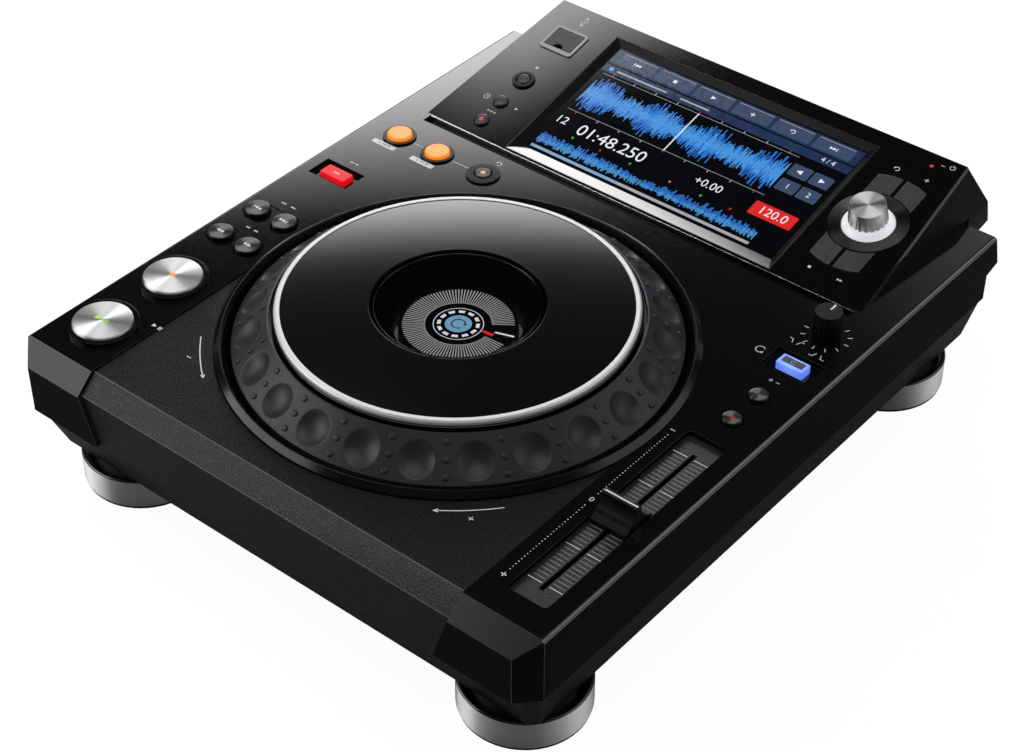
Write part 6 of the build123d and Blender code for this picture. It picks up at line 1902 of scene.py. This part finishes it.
@dataclass
class ButtonSet:
    """Round and flat buttons on the plate with their rings, lamps and symbols."""

    play_dist: float = 26.8
    cue_dist: float = 71.5
    search_dist: float = 112.2
    track_dist: float = 137.6
    pair_shift: float = 9.0
    master_dist: float = 156.4
    master_shift: float = 1.0
    direction_x: float = -132.4
    direction_dist: float = 186.0

    def build(self) -> None:
        """Dresses the buttons and adds their marks."""
        SHOP.soften("button_bezels", [FIN.ring], 0.2)
        for node in ("play_button", "cue_button"):
            SHOP.soften(node, [spun(node + "_spun", node, (0.56, 0.56, 0.555), 0.42, streak=1.0)], 0.25)
        small = ("search_back", "search_forward", "track_back", "track_next", "reloop", "tempo_range",
                 "master_tempo")
        for node in small:
            finish = spun(node + "_spun", node, (0.05, 0.05, 0.051), 0.30, streak=1.0)
            SHOP.soften(node, [finish, FIN.ring], 0.15, upward(0.8))
        for node in ("loop_in", "loop_out"):
            cap = LitCap(node + "_lit", (0.4, 0.12, 0.01), 0.3, specular=0.3, glow=(0.95, 0.34, 0.03),
                         strength=0.8, centre=top_middle(node), rim=(0.90, 0.22, 0.01))
            SHOP.soften(node, [cap], 0.2)
        red = LitCap("direction_lit", (0.18, 0.002, 0.004), 0.3, specular=0.1, glow=(0.85, 0.008, 0.02),
                     strength=0.85, centre=top_middle("direction_button"), reach=8.0,
                     rim=(0.66, 0.004, 0.008))
        SHOP.soften("direction_button", [red], 0.2)
        blue = LitCap("jog_mode_lit", (0.2, 0.3, 0.8), 0.25, glow=(0.25, 0.45, 1.0), strength=0.8,
                      centre=top_middle("jog_mode"), reach=9.0, rim=(0.10, 0.20, 0.95))
        SHOP.soften("jog_mode", [blue], 0.2)
        self.marks()

    def marks(self) -> None:
        """Prints the symbols and lamps on the buttons."""
        left = -PLACE.strip_x
        self.sheet("play_mark", "play_button", left, self.play_dist, 3.0, FIN.green_led,
                   [(Shape.PLAY, -2.6, 2.2), (Shape.PAUSE, 2.2, 1.7)])
        self.sheet("cue_mark", "cue_button", left, self.cue_dist, 3.0, FIN.orange_led,
                   [(Shape.SQUARE, 0.0, 2.2)])
        pairs = (
            ("search_back", -self.pair_shift, self.search_dist, Shape.REWIND),
            ("search_forward", self.pair_shift, self.search_dist, Shape.FORWARD),
            ("track_back", -self.pair_shift, self.track_dist, Shape.BACK),
            ("track_next", self.pair_shift, self.track_dist, Shape.NEXT),
        )
        for node, shift, dist, shape in pairs:
            self.sheet(node + "_mark", node, left + shift, dist, 2.0, FIN.ink, [(shape, 0.0, 1.9)])
        spot = PLACE.deck(PLACE.reloop_x, PLACE.reloop_dist, 1.6)
        lamp = PrintSheet("reloop_lamp", spot, [FIN.orange_led])
        lamp.disc(0, 0, 1.3)
        lamp.done("reloop", "button_dark")
        spot = PLACE.deck(PLACE.strip_x + self.master_shift, self.master_dist, 2.0)
        lamp = PrintSheet("master_lamp", spot, [FIN.red_dim])
        lamp.disc(0, 0, 1.2)
        lamp.done("master_tempo", "button_dark")
        spot = PLACE.deck(PLACE.strip_x, PLACE.mode_dist, 1.0)
        mode = PrintSheet("jog_mode_mark", spot, [FIN.ink_dark, FIN.art_pale])
        mode.plate(0, 0.4, 11.4, 4.4, 0.7)
        mode.arc(0, 0.4, 1.2, 0.35, 30, 330, 1, Level.UPPER, 20)
        mode.done("jog_mode", "lit_blue")
        way = PrintSheet("direction_mark", PLACE.deck(self.direction_x, self.direction_dist, 0.4), [FIN.ink])
        way.symbol(Shape.BACK, 0, 0, 1.3)
        way.done("direction_button", "lit_red")

    @staticmethod
    def sheet(name: str, body: str, x: float, dist: float, rise: float, ink: Finish,
              symbols: Sequence[tuple[Shape, float, float]]) -> None:
        """Prints symbols side by side on one button.

        Args:
            name: the piece's name.
            body: the button's body.
            x: the button's place across.
            dist: its distance back.
            rise: its top's height over the plate.
            ink: the finish.
            symbols: each symbol with its shift across and its size.
        """
        made = PrintSheet(name, PLACE.deck(x, dist, rise), [ink])
        for shape, shift, size in symbols:
            made.symbol(shape, shift, 0.0, size)
        made.done(body, SHOP.record_of(body)[1])


@dataclass
class BrowseControl:
    """Browse knob on its lit base with a gloss ring and four segment keys."""

    top_share: float = 0.9

    def build(self) -> None:
        """Dresses the knob, its base, ring and keys."""
        ring = spun("browse_ring_spun", "browse_ring", (0.05, 0.05, 0.051), 0.36, PLACE.tilt, 1.0)
        SHOP.soften("browse_ring", [ring], 0.2)
        SHOP.soften("browse_glow", [FIN.lit_white], 0.0)
        top = spun("browse_top_spun", "browse_knob", (0.50, 0.50, 0.50), 0.42, PLACE.tilt, 1.0)
        SHOP.soften("browse_knob", [top, FIN.chrome], 0.2, self.knob_part)
        SHOP.soften("browse_shaft", [FIN.steel], 0.0)
        for node in ("browse_back", "tag_track", "track_filter", "shortcut"):
            SHOP.soften(node, [FIN.segment], 0.3, segments=3)

    def knob_part(self, normal: Vector, middle: Vector) -> int:
        """Picks the spun finish for the knob's tilted top and chrome for its wall."""
        axis = Vector((0, -math.sin(PLACE.tilt), math.cos(PLACE.tilt)))
        return 0 if normal.dot(axis) > self.top_share else 1


@dataclass
class SpeedKnob:
    """Fluted black knob with a white pointer."""

    top_rise: float = 14.6

    def build(self) -> None:
        """Dresses the knob and prints its pointer."""
        SHOP.soften("speed_knob", [FIN.knob], 0.2)
        SHOP.soften("knob_bodies", [FIN.steel], 0.0)
        place = PLACE.deck(PLACE.strip_x, PLACE.speed_dist, self.top_rise)
        sheet = PrintSheet("speed_pointer", place, [FIN.ink])
        sheet.bar(0.0, 3.6, 0.9, 4.4)
        sheet.done("speed_knob", "knob_black")


@dataclass
class TempoFader:
    """Tempo fader: scale plate with its lines, the slot and the cap."""

    plate_drop: float = 2.6
    cap_rise: float = 9.8
    half_travel: float = 50.0
    line_pitch: float = 2.5
    line_count: int = 41

    def build(self) -> None:
        """Dresses the fader and prints its lines."""
        SHOP.soften("tempo_plate", [FIN.scale], 0.0)
        SHOP.soften("tempo_fader", [FIN.slot_dark], 0.0)
        SHOP.soften("tempo_cap", [FIN.cap], 0.5, segments=3)
        line = MeshDraft()
        line.polygon(rectangle(0.0, 0.0, 6.2, 0.26), Level.LOWER.value)
        values = {"Count": self.line_count, "Step": (0.0, self.line_pitch, 0.0)}
        for name, shift in (("tempo_lines_left", -5.2), ("tempo_lines_right", 5.2)):
            place = PLACE.deck(PLACE.fader_x + shift, PLACE.fader_dist - self.half_travel, -self.plate_drop)
            mesh = SHOP.grow(name, line, ROW, values, place, FIN.ink_grey)
            SHOP.put(name, mesh, "deck", "scale_grey")
        place = PLACE.deck(PLACE.fader_x, PLACE.fader_dist, -self.plate_drop)
        wide = PrintSheet("tempo_main_lines", place, [FIN.ink])
        for share in (-1.0, -0.5, 0.0, 0.5, 1.0):
            for side in (-1, 1):
                wide.bar(side * 5.7, share * self.half_travel, 7.6, 0.4, 0, Level.UPPER)
        wide.done("deck", "scale_grey")
        mark = PrintSheet("cap_line", PLACE.deck(PLACE.fader_x, PLACE.fader_dist, self.cap_rise), [FIN.ink])
        mark.bar(0.0, 0.0, 17.4, 0.8, 0, Level.TOP)
        mark.done("tempo_cap", "cap_black")


@dataclass
class Undersides:
    """Feet, rear panel, sockets, inner boards and screws."""

    # Painted reflection bands round each foot's ring: how many, the bearing of the brightest, and how sharp
    # they are.
    sheen_band_count: int = 3
    sheen_band_bearing: float = 85.0
    sheen_band_power: float = 1.5
    pad_bulge: float = 1.03
    plating_y: float = 163.6

    def build(self) -> None:
        """Dresses the nodes under, behind and inside the cabinet."""
        rings = SHOP.soften("foot_rings", [FIN.foot_lip, FIN.foot_ring], 0.2, upward(0.3))
        self.paint_sheen_bands(rings.data)
        SHOP.soften("foot_cores", [FIN.foot_core], 0.0)
        pads = SHOP.soften("foot_pads", [FIN.foot_pad], 0.0)
        self.swell_out(pads.data)
        SHOP.soften("rear_panel", [FIN.rear], 0.2)
        SHOP.soften("ac_inlet", [FIN.socket], 0.25)
        SHOP.soften("audio_jacks", [FIN.brass, FIN.socket], 0.15, self.jack_part)
        SHOP.soften("data_sockets", [FIN.steel], 0.1)
        SHOP.soften("power_button", [FIN.socket], 0.3)
        SHOP.soften("circuit_boards", [FIN.board], 0.0)
        SHOP.soften("power_supply", [FIN.inner], 0.3)
        SHOP.soften("case_screws", [FIN.screw], 0.15)

    def jack_part(self, normal: Vector, middle: Vector) -> int:
        """Picks the plating for what stands out behind the rear panel and black for the rest."""
        return 0 if middle.y > self.plating_y else 1

    def paint_sheen_bands(self, mesh: bpy.types.Mesh) -> None:
        """Writes the painted reflection bands round each foot's ring, bright and dark by bearing.

        Args:
            mesh: the four rings.
        """
        sheen_bands = mesh.attributes.new(PAINTED_SHEEN, "FLOAT", "POINT")
        for ring, x, y in self.feet(mesh):
            for v in ring:
                bearing = math.atan2(v.co.x - x, v.co.y - y) - math.radians(self.sheen_band_bearing)
                share = 0.5 + 0.5 * math.cos(self.sheen_band_count * bearing)
                sheen_bands.data[v.index].value = share ** self.sheen_band_power

    def swell_out(self, mesh: bpy.types.Mesh) -> None:
        """Lets each rubber pad bulge out to the ring's edge under the deck's weight.

        Args:
            mesh: the four pads.
        """
        for pad, x, y in self.feet(mesh):
            for v in pad:
                v.co.x = x + (v.co.x - x) * self.pad_bulge
                v.co.y = y + (v.co.y - y) * self.pad_bulge

    @staticmethod
    def feet(mesh: bpy.types.Mesh) -> Iterator[tuple[list[bpy.types.MeshVertex], float, float]]:
        """Sorts a mesh of four feet.

        Args:
            mesh: the mesh, with one foot in each quarter.

        Returns:
            Each foot's vertices and the x and y of its axis in metres.
        """
        for across, along in ((-1, -1), (-1, 1), (1, -1), (1, 1)):
            foot = [v for v in mesh.vertices if v.co.x * across > 0 and v.co.y * along > 0]
            xs = [v.co.x for v in foot]
            ys = [v.co.y for v in foot]
            yield foot, (min(xs) + max(xs)) / 2, (min(ys) + max(ys)) / 2


def main() -> None:
    """Builds the studio and every sub-assembly."""
    logging.basicConfig(level=logging.INFO, format="%(message)s")
    Studio().build()
    assemblies = (Cabinet(), JogWheel(), DisplayUnit(), ButtonSet(), BrowseControl(), SpeedKnob(),
                  TempoFader(), Undersides())
    for assembly in assemblies:
        assembly.build()
        LOG.info("%s done", type(assembly).__name__)


if __name__ == "__main__":
    main()
